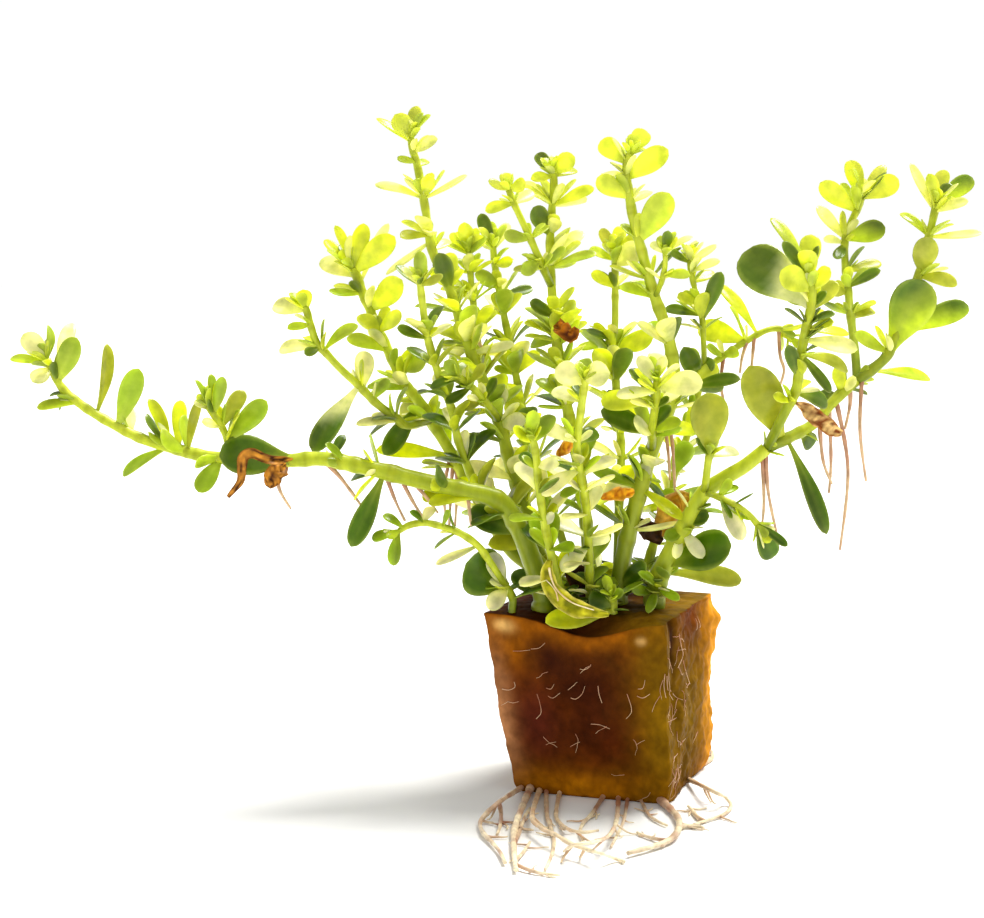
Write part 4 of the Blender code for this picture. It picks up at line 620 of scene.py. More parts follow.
SHOOTS["right_branch"] = dict(
    crown=(655, -7), width=(20, 13), pairs=(0.52, 0.52, 1, 6, 6, 0), tones="dogggggdww",
    route=[
        (657, 588, -7), (662, 570, -8), (675, 545, -9), (690, 517, -10), (704, 493, -11), (725, 478, -12),
        (745, 466, -12), (766, 449, -12),
    ],
    leaves=[
        (666, 566, 728, 543, 38, -7, 30), (664, 572, 744, 577, 19, 5, 30),
        (658, 592, 636, 588, 10, -6, 30), (658, 592, 650, 607, 9, -9, 30), (660, 586, 676, 596, 9, -7, 30),
        (660, 585, 646, 574, 9, -7, 30), (684, 533, 667, 536, 12, -4, 30),
        (690, 522, 708, 516, 16, -4, 20), (686, 530, 702, 556, 14, -5, 20),
        (684, 534, 676, 558, 9, -4, 30),
    ],
    hair_roots=[[(766, 452), (768, 490), (777, 535)], [(762, 454), (764, 500), (762, 526)]],
)
SHOOTS["big_leaf_arm"] = dict(
    width=(8, 7), tones="odw",
    route=[(704, 493, -11), (706, 478, -15), (708, 462, -16), (710, 452, -16)],
    leaves=[
        (710, 454, 708, 395, 38, -3, 10), (709, 458, 697, 438, 7, -3, 40), (710, 456, 740, 446, 12, 4, 40),
    ],
)
SHOOTS["low_right_side_shoot"] = dict(
    width=(6, 6), pairs=(0.55, 0.55, 1, 5, 5, 20), tones="ddwg",
    route=[(706, 493, -11), (718, 497, -18), (735, 505, -20), (748, 514, -21), (757, 524, -21)],
    leaves=[
        (757, 525, 775, 561, 21, 2, 10), (757, 525, 788, 545, 8, -2, 40), (722, 499, 743, 537, 16, -5, 20),
        (720, 498, 738, 484, 8, 4, 40),
    ],
)
SHOOTS["right_front_shoot"] = dict(
    width=(10, 8), pairs=(0.72, 0.72, 1, 6, 6, 0), tones="lydyyogsywodddy",
    route=[
        (768, 447, -12), (779, 424, -16), (789, 405, -18), (796, 390, -19), (799, 372, -20),
        (801, 355, -21), (804, 340, -22), (807, 325, -23), (811, 308, -24), (812, 290, -24),
        (809, 275, -24),
    ],
    leaves=[
        (809, 276, 777, 213, 10, 3, 45), (809, 277, 811, 233, 20, 3, 10), (809, 278, 786, 242, 12, -2, 20),
        (811, 290, 783, 271, 23, -4, 15), (812, 290, 829, 268, 15, -3, 20),
        (811, 312, 836, 280, 15, 3, 30), (811, 306, 786, 291, 13, 4, 30), (811, 305, 742, 251, 47, 6, 10),
        (806, 333, 850, 330, 9, 4, 50), (805, 341, 856, 344, 14, -4, 35), (802, 354, 853, 365, 13, 4, 40),
        (801, 357, 833, 389, 10, -3, 40), (798, 380, 790, 347, 13, -4, 15),
        (795, 393, 831, 402, 15, 4, 30), (790, 402, 775, 395, 9, -4, 30),
    ],
)
SHOOTS["right_end_branch"] = dict(
    width=(11, 10), pairs=(0.85, 0.85, 1, 4.5, 4.5, 0), tones="oddyd",
    route=[
        (769, 447, -12), (790, 437, -11), (812, 425, -10), (830, 405, -9), (845, 390, -8), (857, 381, -7),
    ],
    leaves=[
        (782, 441, 754, 371, 37, -7, 15), (786, 440, 831, 531, 13, -6, 40),
        (800, 431, 815, 446, 17, 4, 20), (842, 393, 838, 370, 13, -4, 10), (838, 398, 812, 398, 16, 5, 30),
    ],
    hair_roots=[
        [(818, 418), (823, 460), (832, 484)], [(834, 402), (848, 470), (840, 550)],
        [(828, 408), (831, 460), (829, 493)], [(851, 386), (850, 405), (845, 429)],
    ],
)
SHOOTS["right_top_shoot"] = dict(
    width=(9, 7), pairs=(0.35, 0.35, 1, 6, 6, 0), tones="yyyobwodood",
    route=[
        (857, 380, -7), (855, 352, -3), (851, 320, 2), (848, 290, 7), (845, 262, 11), (845, 240, 14),
        (851, 222, 16), (858, 208, 17), (861, 198, 17),
    ],
    leaves=[
        (857, 210, 822, 183, 20, -2, 10), (861, 200, 850, 159, 19, 2, 10),
        (861, 200, 898, 179, 22, -3, 10), (861, 202, 885, 162, 13, 4, 20),
        (846, 238, 883, 226, 21, -4, 20), (845, 240, 819, 204, 12, 3, 40), (847, 270, 882, 258, 11, 3, 40),
        (848, 286, 877, 268, 10, -4, 40), (851, 318, 875, 307, 11, 3, 40),
        (848, 292, 831, 288, 12, -4, 30), (845, 244, 838, 256, 12, -5, 20),
    ],
)
SHOOTS["far_right_shoot"] = dict(
    width=(11, 7), pairs=(0.62, 0.62, 1, 6, 6, 30), tones="bblloybwwlwoo",
    route=[
        (858, 380, -7), (874, 368, -8), (886, 357, -8), (894, 342, -8), (902, 320, -8), (912, 295, -8),
        (921, 268, -8), (928, 240, -8), (934, 215, -8), (937, 202, -8),
    ],
    leaves=[
        (890, 352, 923, 281, 43, -5, 5), (897, 334, 973, 298, 22, 6, 20), (888, 354, 858, 332, 13, -3, 35),
        (872, 370, 936, 371, 12, 5, 40), (937, 203, 944, 168, 15, 3, 15), (937, 204, 930, 176, 12, -3, 20),
        (936, 206, 973, 175, 18, 3, 20), (935, 213, 912, 162, 8, 4, 50), (935, 213, 966, 199, 11, -4, 40),
        (929, 238, 902, 210, 8, 3, 45), (929, 238, 981, 230, 9, -3, 45), (920, 272, 929, 240, 23, -5, 15),
        (919, 276, 956, 280, 11, -4, 45),
    ],
    hair_roots=[[(861, 377), (860, 430), (866, 481)]],
)
SHOOTS["upright_left_shoot"] = dict(
    width=(7, 6), tones="gggwogw",
    route=[(232, 459, -12), (228, 442, -15), (222, 427, -16), (214, 415, -17), (208, 406, -17)],
    leaves=[
        (208, 407, 200, 380, 8, -2, 40), (209, 408, 213, 374, 8, 2, 40), (213, 413, 222, 378, 12, -3, 20),
        (211, 411, 195, 399, 11, 3, 30), (222, 427, 243, 388, 16, 3, 15), (227, 440, 264, 402, 21, -3, 10),
        (222, 427, 203, 421, 9, -3, 40),
    ],
)

# Dead leaves: a look, a width in pixels, and points along the blade (column, row, depth in mm)
DEAD_LEAVES = {
    "dead_leaf_left": ("brown", 10, [
        (292, 459, -16), (278, 460, -19), (264, 458, -20), (252, 453, -20), (244, 457, -20),
        (242, 468, -20), (240, 482, -20), (228, 497, -20),
    ]),
    "dead_leaf_low_left": ("brown", 18, [(286, 466, -15), (277, 472, -17), (268, 487, -17)]),
    "dead_leaf_top": ("red", 16, [(557, 324, 3), (563, 329, -2), (571, 336, -4), (577, 328, -4)]),
    "dead_leaf_crown": ("gold", 28, [
        (695, 496, -6), (684, 500, -1), (672, 509, 2), (664, 521, 3), (660, 536, 3),
    ]),
    # Two dark leaves in the crown's deepest gaps, their near-black tone painted shadow on dead matter.
    "dead_leaf_dark": ("dark", 20, [(637, 519, -2), (645, 527, 0), (654, 536, 1), (662, 542, 1)]),
    "dead_leaf_inner": ("dark", 24, [(591, 588, -2), (582, 580, -4), (574, 571, -5), (568, 561, -5)]),
    "dead_leaf_right": ("boat", 16, [
        (796, 403, -18), (804, 407, -17), (812, 414, -17), (822, 422, -17), (832, 429, -16),
        (841, 433, -15),
    ]),
    "dead_leaf_middle": ("orange", 13, [(574, 444, 1), (567, 447, -2), (557, 456, -3)]),
    "dead_leaf_front": ("orange", 13, [(634, 492, -9), (618, 494, -11), (601, 498, -12)]),
    "old_leaf_crown": ("yellow", 18, [
        (609, 614, -19), (594, 613, -18.5), (577, 609, -18.5), (562, 600, -18.5), (551, 587, -18.5),
        (547, 573, -18.5), (550, 560, -18.5),
    ]),
}

# Roots: each is one or more strands that grew together. A strand is its width in pixels and its points
# (column, row, height in mm over the surface that it lies on). Rows are those of roots that hang, and a
# root that lies on the surface shows less of its length.
ROOTS = {
    "root_far_left": [
        (6, [
            (507, 789, 1), (499, 803, 3), (487, 820, 1), (480, 835, 0), (483, 850, 0), (492, 865, 0),
            (500, 880, 0), (505, 896, 0),
        ]),
        (5, [(499, 803, 3), (501, 822, 0), (500, 840, 0), (497, 853, 0)]),
    ],
    "root_left": [
        (8, [(530, 804, 1), (519, 822, 1), (514, 850, 0), (514, 880, 0), (516, 906, 0)]),
        (5, [(514, 872, 0), (520, 845, 0), (525, 824, 0), (530, 812, 0)]),
        (4, [(516, 896, 0), (523, 880, 0), (530, 864, 0)]),
        (4, [(515, 902, 0), (535, 910, 0), (560, 915, 0)]),
    ],
    "root_long": [
        (6, [
            (538, 806, 2), (532, 822, 2), (540, 840, 2), (556, 852, 2.4), (568, 863, 2.2), (582, 872, 2),
            (600, 880, 2), (617, 889, 0), (624, 893, 0),
        ]),
    ],
    "root_bent": [
        (5, [(546, 806, 1), (547, 822, 0), (551, 842, 0), (554, 862, 0), (552, 882, 0), (545, 906, 0)]),
    ],
    "root_hooked": [
        (5, [(560, 806, 1), (556, 820, 0), (560, 835, 0), (570, 845, 1.6), (584, 849, 2), (598, 846, 1.6)]),
    ],
    "root_middle": [
        (5, [(604, 807, 1), (592, 820, 0), (583, 835, 0), (580, 850, 0), (584, 864, 0)]),
    ],
    "root_curved": [
        (5, [
            (618, 808, 1), (617, 825, 1), (613, 845, 2), (605, 858, 2.4), (592, 864, 4.2), (574, 868, 4.4),
            (564, 878, 0),
        ]),
    ],
    "root_thin": [
        (4, [(630, 808, 1), (625, 822, 0), (622, 838, 0), (616, 856, 0), (611, 871, 0)]),
    ],
    "root_short": [
        (4, [(641, 808, 1), (648, 820, 0), (657, 831, 0), (667, 838, 0)]),
    ],
    "root_right": [
        (8, [
            (672, 806, 1), (676, 822, 0), (679, 840, 0), (672, 858, 0), (656, 869, 0), (640, 876, 0),
            (628, 881, 0),
        ]),
        (4, [(663, 865, 0), (650, 857, 0), (637, 849, 0)]),
        (4, [(679, 842, 0), (692, 838, 0), (704, 842, 0)]),
    ],
    "root_loop": [
        (5, [
            (700, 790, 2), (713, 785, 3), (726, 795, 1), (731, 808, 0), (724, 820, 0), (706, 830, 0),
            (694, 836, 0),
        ]),
        (5, [(704, 831, 0), (697, 824, 0), (692, 814, 0), (688, 808, 0)]),
    ],
    "root_back_left": [
        (6, [(575, 722, 1), (565, 712, 0), (552, 706, 0), (540, 694, 0), (537, 680, 0)]),
    ],
    "root_back": [
        (6, [(630, 722, 1), (634, 708, 0), (624, 695, 0), (630, 680, 0), (643, 670, 0)]),
    ],
    "root_back_right": [
        (5, [(700, 744, 1), (712, 734, 0), (708, 718, 0), (696, 708, 0)]),
    ],
}


def part(value):
    """Numbers kept between 0 and 1."""
    return np.clip(value, 0, 1)


def hill(value):
    """1 where a number is 0, and less on both sides of it."""
    return np.exp(-(value**2))


def mixed(a, b, share):
    """A colour, or an array of them, part of the way from a to b."""
    return a + (b - a) * share


def turns(count):
    """Even angles round a circle."""
    return np.arange(count) / count * 2 * math.pi


def unit_rows(rows):
    """An array of directions, each with length 1."""
    return rows / np.linalg.norm(rows, axis=1)[:, None]


def bearing(angle, rise=0):
    """The direction at an angle round the plant, with a rise."""
    return Vector((math.cos(angle), math.sin(angle), rise))


def sight(column, row):
    """The line of sight through a column and row of the picture."""
    ray = AHEAD * DISTANCE
    ray += RIGHT * (column - MIDDLE_COLUMN) * PIXEL
    ray -= UP * (row - MIDDLE_ROW) * PIXEL
    return ray


def seen(column, row, depth):
    """The place in metres that shows at a column and row, depth mm behind the plug's middle."""
    ray = sight(column, row)
    return EYE + ray * (depth * MM - EYE.y) / ray.y


def shows(point):
    """The column and row of the picture where a place shows."""
    offset = point - EYE
    away = offset.dot(AHEAD)
    column = MIDDLE_COLUMN + offset.dot(RIGHT) * DISTANCE / away / PIXEL
    row = MIDDLE_ROW - offset.dot(UP) * DISTANCE / away / PIXEL
    return Vector((column, row))


def crown(column, depth):
    """The place just over the plug's top that shows in a column, depth mm behind the plug's middle."""
    away = (depth * MM - EYE.y) * AHEAD.y + (PLUG_HEIGHT - EYE.z) * AHEAD.z
    across = (column - MIDDLE_COLUMN) * PIXEL * away / DISTANCE
    return Vector((EYE.x + across, depth * MM, PLUG_HEIGHT + GAP))


def laid(column, row, height, radius):
    """The place on the surface where a point of a laid root shows, height mm over its lowest place."""
    ray = sight(column, FRONT_EDGE_ROW + (row - FRONT_EDGE_ROW) * ROOT_DROP_SHOWN)
    centre = radius + height * MM
    return EYE + ray * (centre - EYE.z) / ray.z


def smooth(points, step):
    """Points about step apart on a smooth curve through the given ones."""
    fine = []
    last = len(points) - 1
    for i in range(last):
        before = points[max(i - 1, 0)]
        start = points[i]
        end = points[i + 1]
        after = points[min(i + 2, last)]
        for k in range(CURVE_PARTS):
            t = k / CURVE_PARTS
            bend = (2 * before - 5 * start + 4 * end - after) * t * t
            twist = (3 * start - before - 3 * end + after) * t * t * t
            fine.append(start + ((end - before) * t + bend + twist) / 2)
    fine.append(points[-1])
    return spaced(fine, step)


def spaced(points, step):
    """The same line with its points an even distance, about step, apart."""
    reach = [0.0]
    for a, b in zip(points, points[1:]):
        reach.append(reach[-1] + (b - a).length)
    count = max(2, round(reach[-1] / step))
    even = []
    k = 0
    for i in range(count + 1):
        wanted = reach[-1] * i / count
        while k < len(points) - 2 and reach[k + 1] < wanted:
            k += 1
        share = (wanted - reach[k]) / (reach[k + 1] - reach[k])
        even.append(points[k].lerp(points[k + 1], min(max(share, 0), 1)))
    return even


def thinned(points, slack):
    """The same line with only the points that it needs to stay within slack of its old ones."""
    first = points[0]
    span = points[-1] - first
    if len(points) < 3:
        return list(points)
    offsets = []
    for point in points[1:-1]:
        share = min(max((point - first).dot(span) / span.length_squared, 0), 1)
        offsets.append((first + span * share - point).length)
    worst = max(offsets)
    if worst < slack:
        return [first, points[-1]]
    middle = offsets.index(worst) + 1
    return thinned(points[: middle + 1], slack)[:-1] + thinned(points[middle:], slack)


def make_leaf(base, along, face, length, width):
    """A leaf that grows from base towards along, with its upper side to face."""
    along = along.normalized()
    face = (face - along * face.dot(along)).normalized()
    return {"base": base, "along": along, "face": face, "length": length, "width": width}


def drawn_leaf(line, row, stretch, swing, extra_roll):
    """A leaf drawn on the picture, changed a little where it would touch another shoot."""
    base_column, base_row, tip_column, tip_row, width, depth, roll = row
    drawn_base = Vector((base_column, base_row))
    base = min(line, key=lambda p: (shows(p) - drawn_base).length)
    tip = seen(tip_column, tip_row, base.y / MM + depth + swing)
    along = (tip - base).normalized()
    to_eye = (EYE - base).normalized()
    to_eye = (to_eye - along * to_eye.dot(along)).normalized()
    skyward = SKY - along * along.z
    if skyward.length < STEEP_LEAF:
        skyward = along.cross(to_eye)
    angle = math.radians(roll + extra_roll)
    face = to_eye * math.cos(angle) + skyward.normalized() * math.sin(angle)
    real_width = width * PIXEL / max(math.cos(math.radians(roll)), ROLL_SHOWN_LEAST)
    return make_leaf(base, along, face, (tip - base).length * stretch, real_width)


def paired_leaf(line, share, length, turn, lean):
    """One leaf of an opposite pair, at a share of a shoot's length."""
    place = share * (len(line) - 1)
    i = min(int(place), len(line) - 2)
    base = line[i].lerp(line[i + 1], place - i)
    ahead = (line[i + 1] - line[i]).normalized()
    across = ahead.cross(Vector((0, 1, 0))).normalized()
    outward = Matrix.Rotation(math.radians(turn), 3, ahead) @ across
    along = ahead * math.cos(math.radians(lean)) + outward * math.sin(math.radians(lean))
    return make_leaf(base, along, ahead, length, length * PAIR_WIDTH)


def leaf_choices(plan, bones):
    """For each leaf of a shoot, the places that it may take, the best one first."""
    for row in plan["leaves"]:
        yield [drawn_leaf(bones, row, *change) for change in DRAWN_CHANGES]
    if "pairs" not in plan:
        return
    first, last, count, first_length, last_length, turn = plan["pairs"]
    for k in range(count):
        portion = k / max(count - 1, 1)
        share = mixed(first, last, portion)
        length = mixed(first_length, last_length, portion) * MM
        lean = mixed(*PAIR_LEAN, share)
        for side in (0, 180):
            angle = turn + 90 * k + side
            yield [
                paired_leaf(bones, share, length * stretch, angle + swing, lean)
                for stretch, swing in PAIR_CHANGES
            ]


def added(name, data):
    """A new object in the scene."""
    thing = bpy.data.objects.new(name, data)
    bpy.context.scene.collection.objects.link(thing)
    return thing


def finish_mesh(mesh, tones, materials):
    """Gives a mesh its materials, and its colours in an attribute named tone."""
    colours = np.ones((len(tones), 4))
    colours[:, :3] = tones
    attribute = mesh.attributes.new("tone", "FLOAT_COLOR", "POINT")
    attribute.data.foreach_set("color", colours.astype(np.float32).ravel())
    for material in materials:
        mesh.materials.append(material)
    mesh.shade_smooth()


def placed(thing, node):
    """Ties a piece to the plant and lets it stand for its node."""
    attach(thing, "root")
    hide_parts(node)


class Growth:
    """A piece's corners, faces, colours and material numbers, gathered as it grows."""

    def __init__(self):
        self.corners = []
        self.tones = []
        self.faces = []
        self.kinds = []
        self.count = 0

    def loft(self, rings, tones, kind):
        """Adds a closed skin over rings of corners, an array of ring, corner and place."""
        count, around = rings.shape[:2]
        numbers = self.count + np.arange(count * around).reshape(count, around)
        a = numbers[:-1]
        b = numbers[1:]
        walls = np.stack([a, np.roll(a, -1, 1), np.roll(b, -1, 1), b], axis=-1).reshape(-1, 4)
        faces = walls.tolist() + [numbers[0][::-1].tolist(), numbers[-1].tolist()]
        self.corners.append(rings.reshape(-1, 3))
        self.tones.append(np.broadcast_to(tones, rings.shape).reshape(-1, 3))
        self.faces += faces
        self.kinds += [kind] * len(faces)
        self.count += count * around

    def as_object(self, name, materials):
        """The piece as an object."""
        mesh = bpy.data.meshes.new(name)
        mesh.from_pydata(np.concatenate(self.corners), [], self.faces)
        mesh.polygons.foreach_set("material_index", self.kinds)
        finish_mesh(mesh, np.concatenate(self.tones), materials)
        return added(name, mesh)


def tube_rings(points, radii, around):
    """Rings of corners round a line, without twist."""
    points = np.array([tuple(point) for point in points])
    ahead = unit_rows(np.gradient(points, axis=0))
    side = np.cross(ahead[0], (0, 0, 1.0))
    if np.linalg.norm(side) < 0.1:
        side = np.cross(ahead[0], (0, 1.0, 0))
    sides = []
    for direction in ahead:
        side = side - direction * side.dot(direction)
        side = side / np.linalg.norm(side)
        sides.append(side)
    sides = np.array(sides)
    others = np.cross(ahead, sides)
    angle = turns(around)
    spread = sides[:, None] * np.cos(angle)[None, :, None] + others[:, None] * np.sin(angle)[None, :, None]
    radii = np.broadcast_to(np.asarray(radii, dtype=float).T, (around, len(points))).T
    return points[:, None] + spread * radii[:, :, None]


def leaf_outline(t, foot):
    """The half-width of a leaf as a share of its widest, from a narrow base to a round tip."""
    rising = LEAF_BASE + (1 - LEAF_BASE) * np.sin(part(t / LEAF_WIDEST) * math.pi / 2) ** foot
    over = part((t - LEAF_WIDEST) / (1 - LEAF_WIDEST))
    return np.maximum(rising * np.sqrt(1 - over**2.3), LEAF_TIP)


def add_leaf(growth, leaf, letter, rng):
    """One fleshy leaf: cupped, thicker at its base, with a faint midrib.

    Across the arrays, t runs from 0 at the base to 1 at the tip, and x and y run round the leaf: x from its
    edges at -1 and 1, y from its underside at -1 to its upper side at 1.
    """
    length = leaf["length"]
    rows, around = LEAF_GRID if length > SMALL_LEAF else SMALL_LEAF_GRID
    s = np.linspace(0, 1, rows)
    t = mixed(s, 0.5 - 0.5 * np.cos(math.pi * s), 0.6)[:, None]
    x = np.cos(turns(around))[None, :]
    y = np.sin(turns(around))[None, :]
    outline = leaf_outline(t, LONG_FOOT if length > LONG_LEAF else SHORT_FOOT)
    half = leaf["width"] / 2 * outline
    thick = (LEAF_THICK_AT_LEAST + length * LEAF_THICK_SHARE) * (1.1 - 0.5 * t) * np.sqrt(outline)
    cup = rng.uniform(*LEAF_CUP)
    bend = rng.uniform(*LEAF_BEND)
    curl = rng.uniform(*LEAF_CURL)
    wave = rng.uniform(*LEAF_WAVE)
    phase = rng.uniform(0, 6)
    twist = rng.uniform(*LEAF_TWIST) * t
    rise = half * cup * x**2 + half * wave * np.sin(5 * t + phase) * x * abs(x)
    rise = rise + thick / 2 * y - MIDRIB_DEPTH * hill(x / 0.16) * (y > 0) * outline
    drop = length * (-LEAF_SAG * t**2 + bend * np.sin(math.pi * t) - curl * t**4)
    across = half * x * np.cos(twist) - rise * np.sin(twist)
    above = half * x * np.sin(twist) + rise * np.cos(twist) + drop
    along = np.array(leaf["along"])
    face = np.array(leaf["face"])
    rings = np.array(leaf["base"]) + (length * t)[..., None] * along
    rings = rings + across[..., None] * np.cross(along, face) + above[..., None] * face
    growth.loft(rings, leaf_tones(leaf, letter, t, x, y, rng), 0)


def leaf_tones(leaf, letter, t, x, y, rng):
    """A leaf's colours: paler at its base, midrib and underside, with painted shade at its heart and on one
    side, a paler edge and tip that are partly painted rim light, and painted reflection and light over the
    lower half of some leaves and high up.
    """
    # Painted shade: a darker heart, and one side and one end darker than the other.
    heart = rng.uniform(*LEAF_HEART_PAINTED_SHADE)
    painted_heart_shade = np.exp(-(((t - 0.66) / 0.26) ** 2) - (x / 0.75) ** 2)
    fold = 1 + rng.uniform(*LEAF_FOLD_PAINTED_SHADE_ACROSS) * np.tanh(3 * x) + rng.uniform(*LEAF_FOLD_PAINTED_SHADE_ALONG) * (t - 0.4)
    light = fold * (1 + (heart - 1) * painted_heart_shade)
    tones = LEAF_TONES[letter] * rng.uniform(*LEAF_BRIGHTNESS) * light[..., None]
    layers = [(LEAF_BASE_TONE, part(1 - t / 0.45) * LEAF_BASE_SHARE)]
    # The lower half of s leaves gets a painted reflection, and that of b leaves painted light.
    if letter in LOWER_HALF_PAINTED_LIGHT:
        low_tone, end, slant, blur = LOWER_HALF_PAINTED_LIGHT[letter]
        layers.append((low_tone, part((end - t + slant * x) / blur) * LOWER_HALF_PAINTED_LIGHT_SHARE))
    layers += [
        # A paler edge and tip, partly painted rim light, and a paler midrib.
        (RIM_TONE, part((abs(x) - 0.72) / 0.28) * EDGE_AND_RIM_LIGHT_SHARE + part((t - 0.9) / 0.1) * TIP_AND_RIM_LIGHT_SHARE),
        (RIM_TONE, hill(x / 0.14) * (y > 0) * part(1.1 - t) * MIDRIB_SHARE),
        (PALE_TONE, (y < -0.2) * PALE_SHARE),
    ]
    for tone, share in layers:
        tones = mixed(tones, tone, share[..., None])
    # Painted light: the higher a leaf's base, the more it is washed towards a pale tone; dark leaves less.
    high = part((leaf["base"].z - HIGH_FROM) / (HIGH_TO - HIGH_FROM))
    return mixed(tones, HIGH_PAINTED_LIGHT_TONE, high * (DARK_LEAF_PAINTED_LIGHT_SHARE if letter in DARK_LETTERS else HIGH_PAINTED_LIGHT_SHARE))


def add_rosette(growth, line, rng):
    """The young leaves at a shoot's tip, in crossed pairs that close over each other."""
    ahead = (line[-1] - line[-3]).normalized()
    across = ahead.orthogonal().normalized()
    turn = rng.uniform(0, 90)
    for k, (length, lean) in enumerate(ROSETTE):
        for side in (0, 180):
            spun = Matrix.Rotation(math.radians(turn + 90 * k + side + rng.uniform(-8, 8)), 3, ahead) @ across
            tilt = math.radians(lean + rng.uniform(-5, 5))
            along = ahead * math.cos(tilt) + spun * math.sin(tilt)
            base = line[-1] - ahead * (0.5 - 0.35 * k) * MM
            size = length * rng.uniform(0.85, 1.15) * MM
            leaf = make_leaf(base, along, ahead - spun * 0.4, size, size * ROSETTE_WIDTH)
            add_leaf(growth, leaf, "r", rng)


def add_axil_leaves(growth, leaf, line, rng):
    """The young leaves in the angle between a leaf and its stem: a bud's pairs, beside the leaf."""
    number = line.index(leaf["base"])
    ahead = (line[min(number + 2, len(line) - 1)] - line[max(number - 2, 0)]).normalized()
    sideways = leaf["along"].cross(ahead)
    if not AXIL_LEAF_FROM < leaf["length"] < AXIL_LEAF_TO or sideways.length < 0.3:
        return
    sideways.normalize()
    base = leaf["base"]
    chance = mixed(AXIL_CHANCE, 1, part((base.z - AXIL_LOW) / AXIL_RISE))
    within = CROWD_LEFT < base.x < CROWD_RIGHT and CROWD_LOW < base.z < CROWD_HIGH
    plan = CROWD_PLAN if within and base.y > CROWD_FRONT else AXIL_PLAN
    for number in range(plan["leaves"]):
        if rng.uniform() > chance:
            continue
        pair = number // 2
        side = (-1, 1)[number % 2] * (rng.uniform(0.3, 0.7) + 0.4 * pair)
        size = rng.uniform(*plan["length"]) * leaf["length"]
        lean = rng.uniform(0.5, 1.1) - 0.6 * pair
        along = (leaf["along"] * 0.75 + ahead * lean + sideways * side).normalized()
        letter = rng.choice(list(plan["tones"]))
        face = ahead - leaf["along"] * 0.5
        add_leaf(growth, make_leaf(base, along, face, size, size * rng.uniform(*AXIL_WIDTH)), letter, rng)


def add_foot_leaves(growth, line, rng):
    """The crowded low leaves round a shoot's foot, in the crown of the plug."""
    turn = rng.uniform(0, 360)
    for number in range(FOOT_LEAVES):
        turn += 360 / FOOT_LEAVES + rng.uniform(-25, 25)
        base = line[int(rng.integers(min(FOOT_LEAF_ROWS, len(line))))]
        out = bearing(math.radians(turn), rng.uniform(0.15, 1.0))
        size = rng.uniform(*FOOT_LEAF_LENGTH)
        reach = base + out.normalized() * size
        if Vector((reach.x - PLUG_LEAN, reach.y)).length < FOOT_LEAF_REACH:
            letter = rng.choice(list(FOOT_TONES))
            leaf = make_leaf(base, out, SKY - out * 0.3, size, size * rng.uniform(*FOOT_LEAF_WIDTH))
            add_leaf(growth, leaf, letter, rng)


def add_stem(growth, line, radii, nodes, rng):
    """A fleshy stem, thicker at its nodes and greener towards its foot, with pale lengthwise bands that are
    partly painted highlight.
    """
    fine = smooth(line, STEM_STEP)
    reach = np.arange(len(fine)) * STEM_STEP
    share = reach / reach[-1]
    swell = np.zeros_like(reach)
    for node in nodes:
        swell = np.maximum(swell, hill((reach - node) / NODE_LENGTH))
    radius = mixed(radii[0], radii[1], share) * (1 + NODE_SWELL * swell)
    around = 14 if radii[0] > THICK_STEM else 10
    angle = turns(around)
    ridge = 1 + STEM_RIDGE * np.sin(3 * angle + rng.uniform(0, 6))[None, :]
    rings = tube_rings(fine, radius[:, None] * ridge, around)
    tones = mixed(STEM_FOOT_TONE, STEM_TIP_TONE, part(share * 2.2)[:, None])[:, None]
    # Pale lengthwise bands round the stem, partly its own streaks and partly painted highlight.
    streak_and_highlight = (0.5 + 0.5 * np.sin(2 * angle + 2 * share[:, None] + rng.uniform(0, 6)))[..., None]
    tones = mixed(tones, STEM_STREAK_AND_HIGHLIGHT_TONE, streak_and_highlight * (0.15 + 0.3 * share)[:, None, None])
    tones = mixed(tones, NODE_TONE, (swell**3 * 0.5)[:, None, None])
    growth.loft(rings, tones, 1)


def add_root(growth, line, radii, tones, kind, step=ROOT_STEP):
    """A root along a line, a little uneven."""
    fine = smooth(line, step)
    share = np.linspace(0, 1, len(fine))
    lumps = np.array([noise.noise(point * 420) for point in fine])
    rings = tube_rings(fine, mixed(radii[0], radii[1], share) * (1 + 0.25 * lumps), 8)
    patches = np.array([noise.noise(point * 230 + Vector((5, 2, 1))) for point in fine])
    blend = part(0.1 + 0.9 * share + 0.7 * patches)
    growth.loft(rings, mixed(tones[0], tones[1], blend[:, None])[:, None], kind)


def corners_of(node):
    """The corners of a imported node, ready for finding the nearest."""
    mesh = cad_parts[node].data
    tree = KDTree(len(mesh.vertices))
    for vertex in mesh.vertices:
        tree.insert(vertex.co, vertex.index)
    tree.balance()
    return tree


def packed_start(name, line, radius, corners):
    """How far along its line the model starts a side shoot."""
    for start, point in enumerate(line):
        if corners.find(point)[2] < radius + START_SLACK:
            return start
    raise ValueError("no start for " + name)


def packed_leaves(plan, bones, corners):
    """The leaves that the model has on a shoot, each with the letter of its tone.

    The model has a leaf where one of its corners is at the leaf's tip.
    """
    letters = plan["tones"]
    for number, choices in enumerate(leaf_choices(plan, bones)):
        letter = letters[number] if number < len(letters) else None
        for leaf in choices:
            tip = leaf["base"] + leaf["along"] * leaf["length"] - leaf["face"] * LEAF_SAG * leaf["length"]
            if corners.find(tip)[2] < TIP_SLACK:
                yield leaf, letter
                break


def rooted(leaf, line):
    """A leaf moved to start on the smooth line of its stem, with its tip where it was."""
    tip = leaf["base"] + leaf["along"] * leaf["length"]
    base = min(line, key=lambda p: (p - leaf["base"]).length)
    return make_leaf(base, tip - base, leaf["face"], (tip - base).length, leaf["width"])


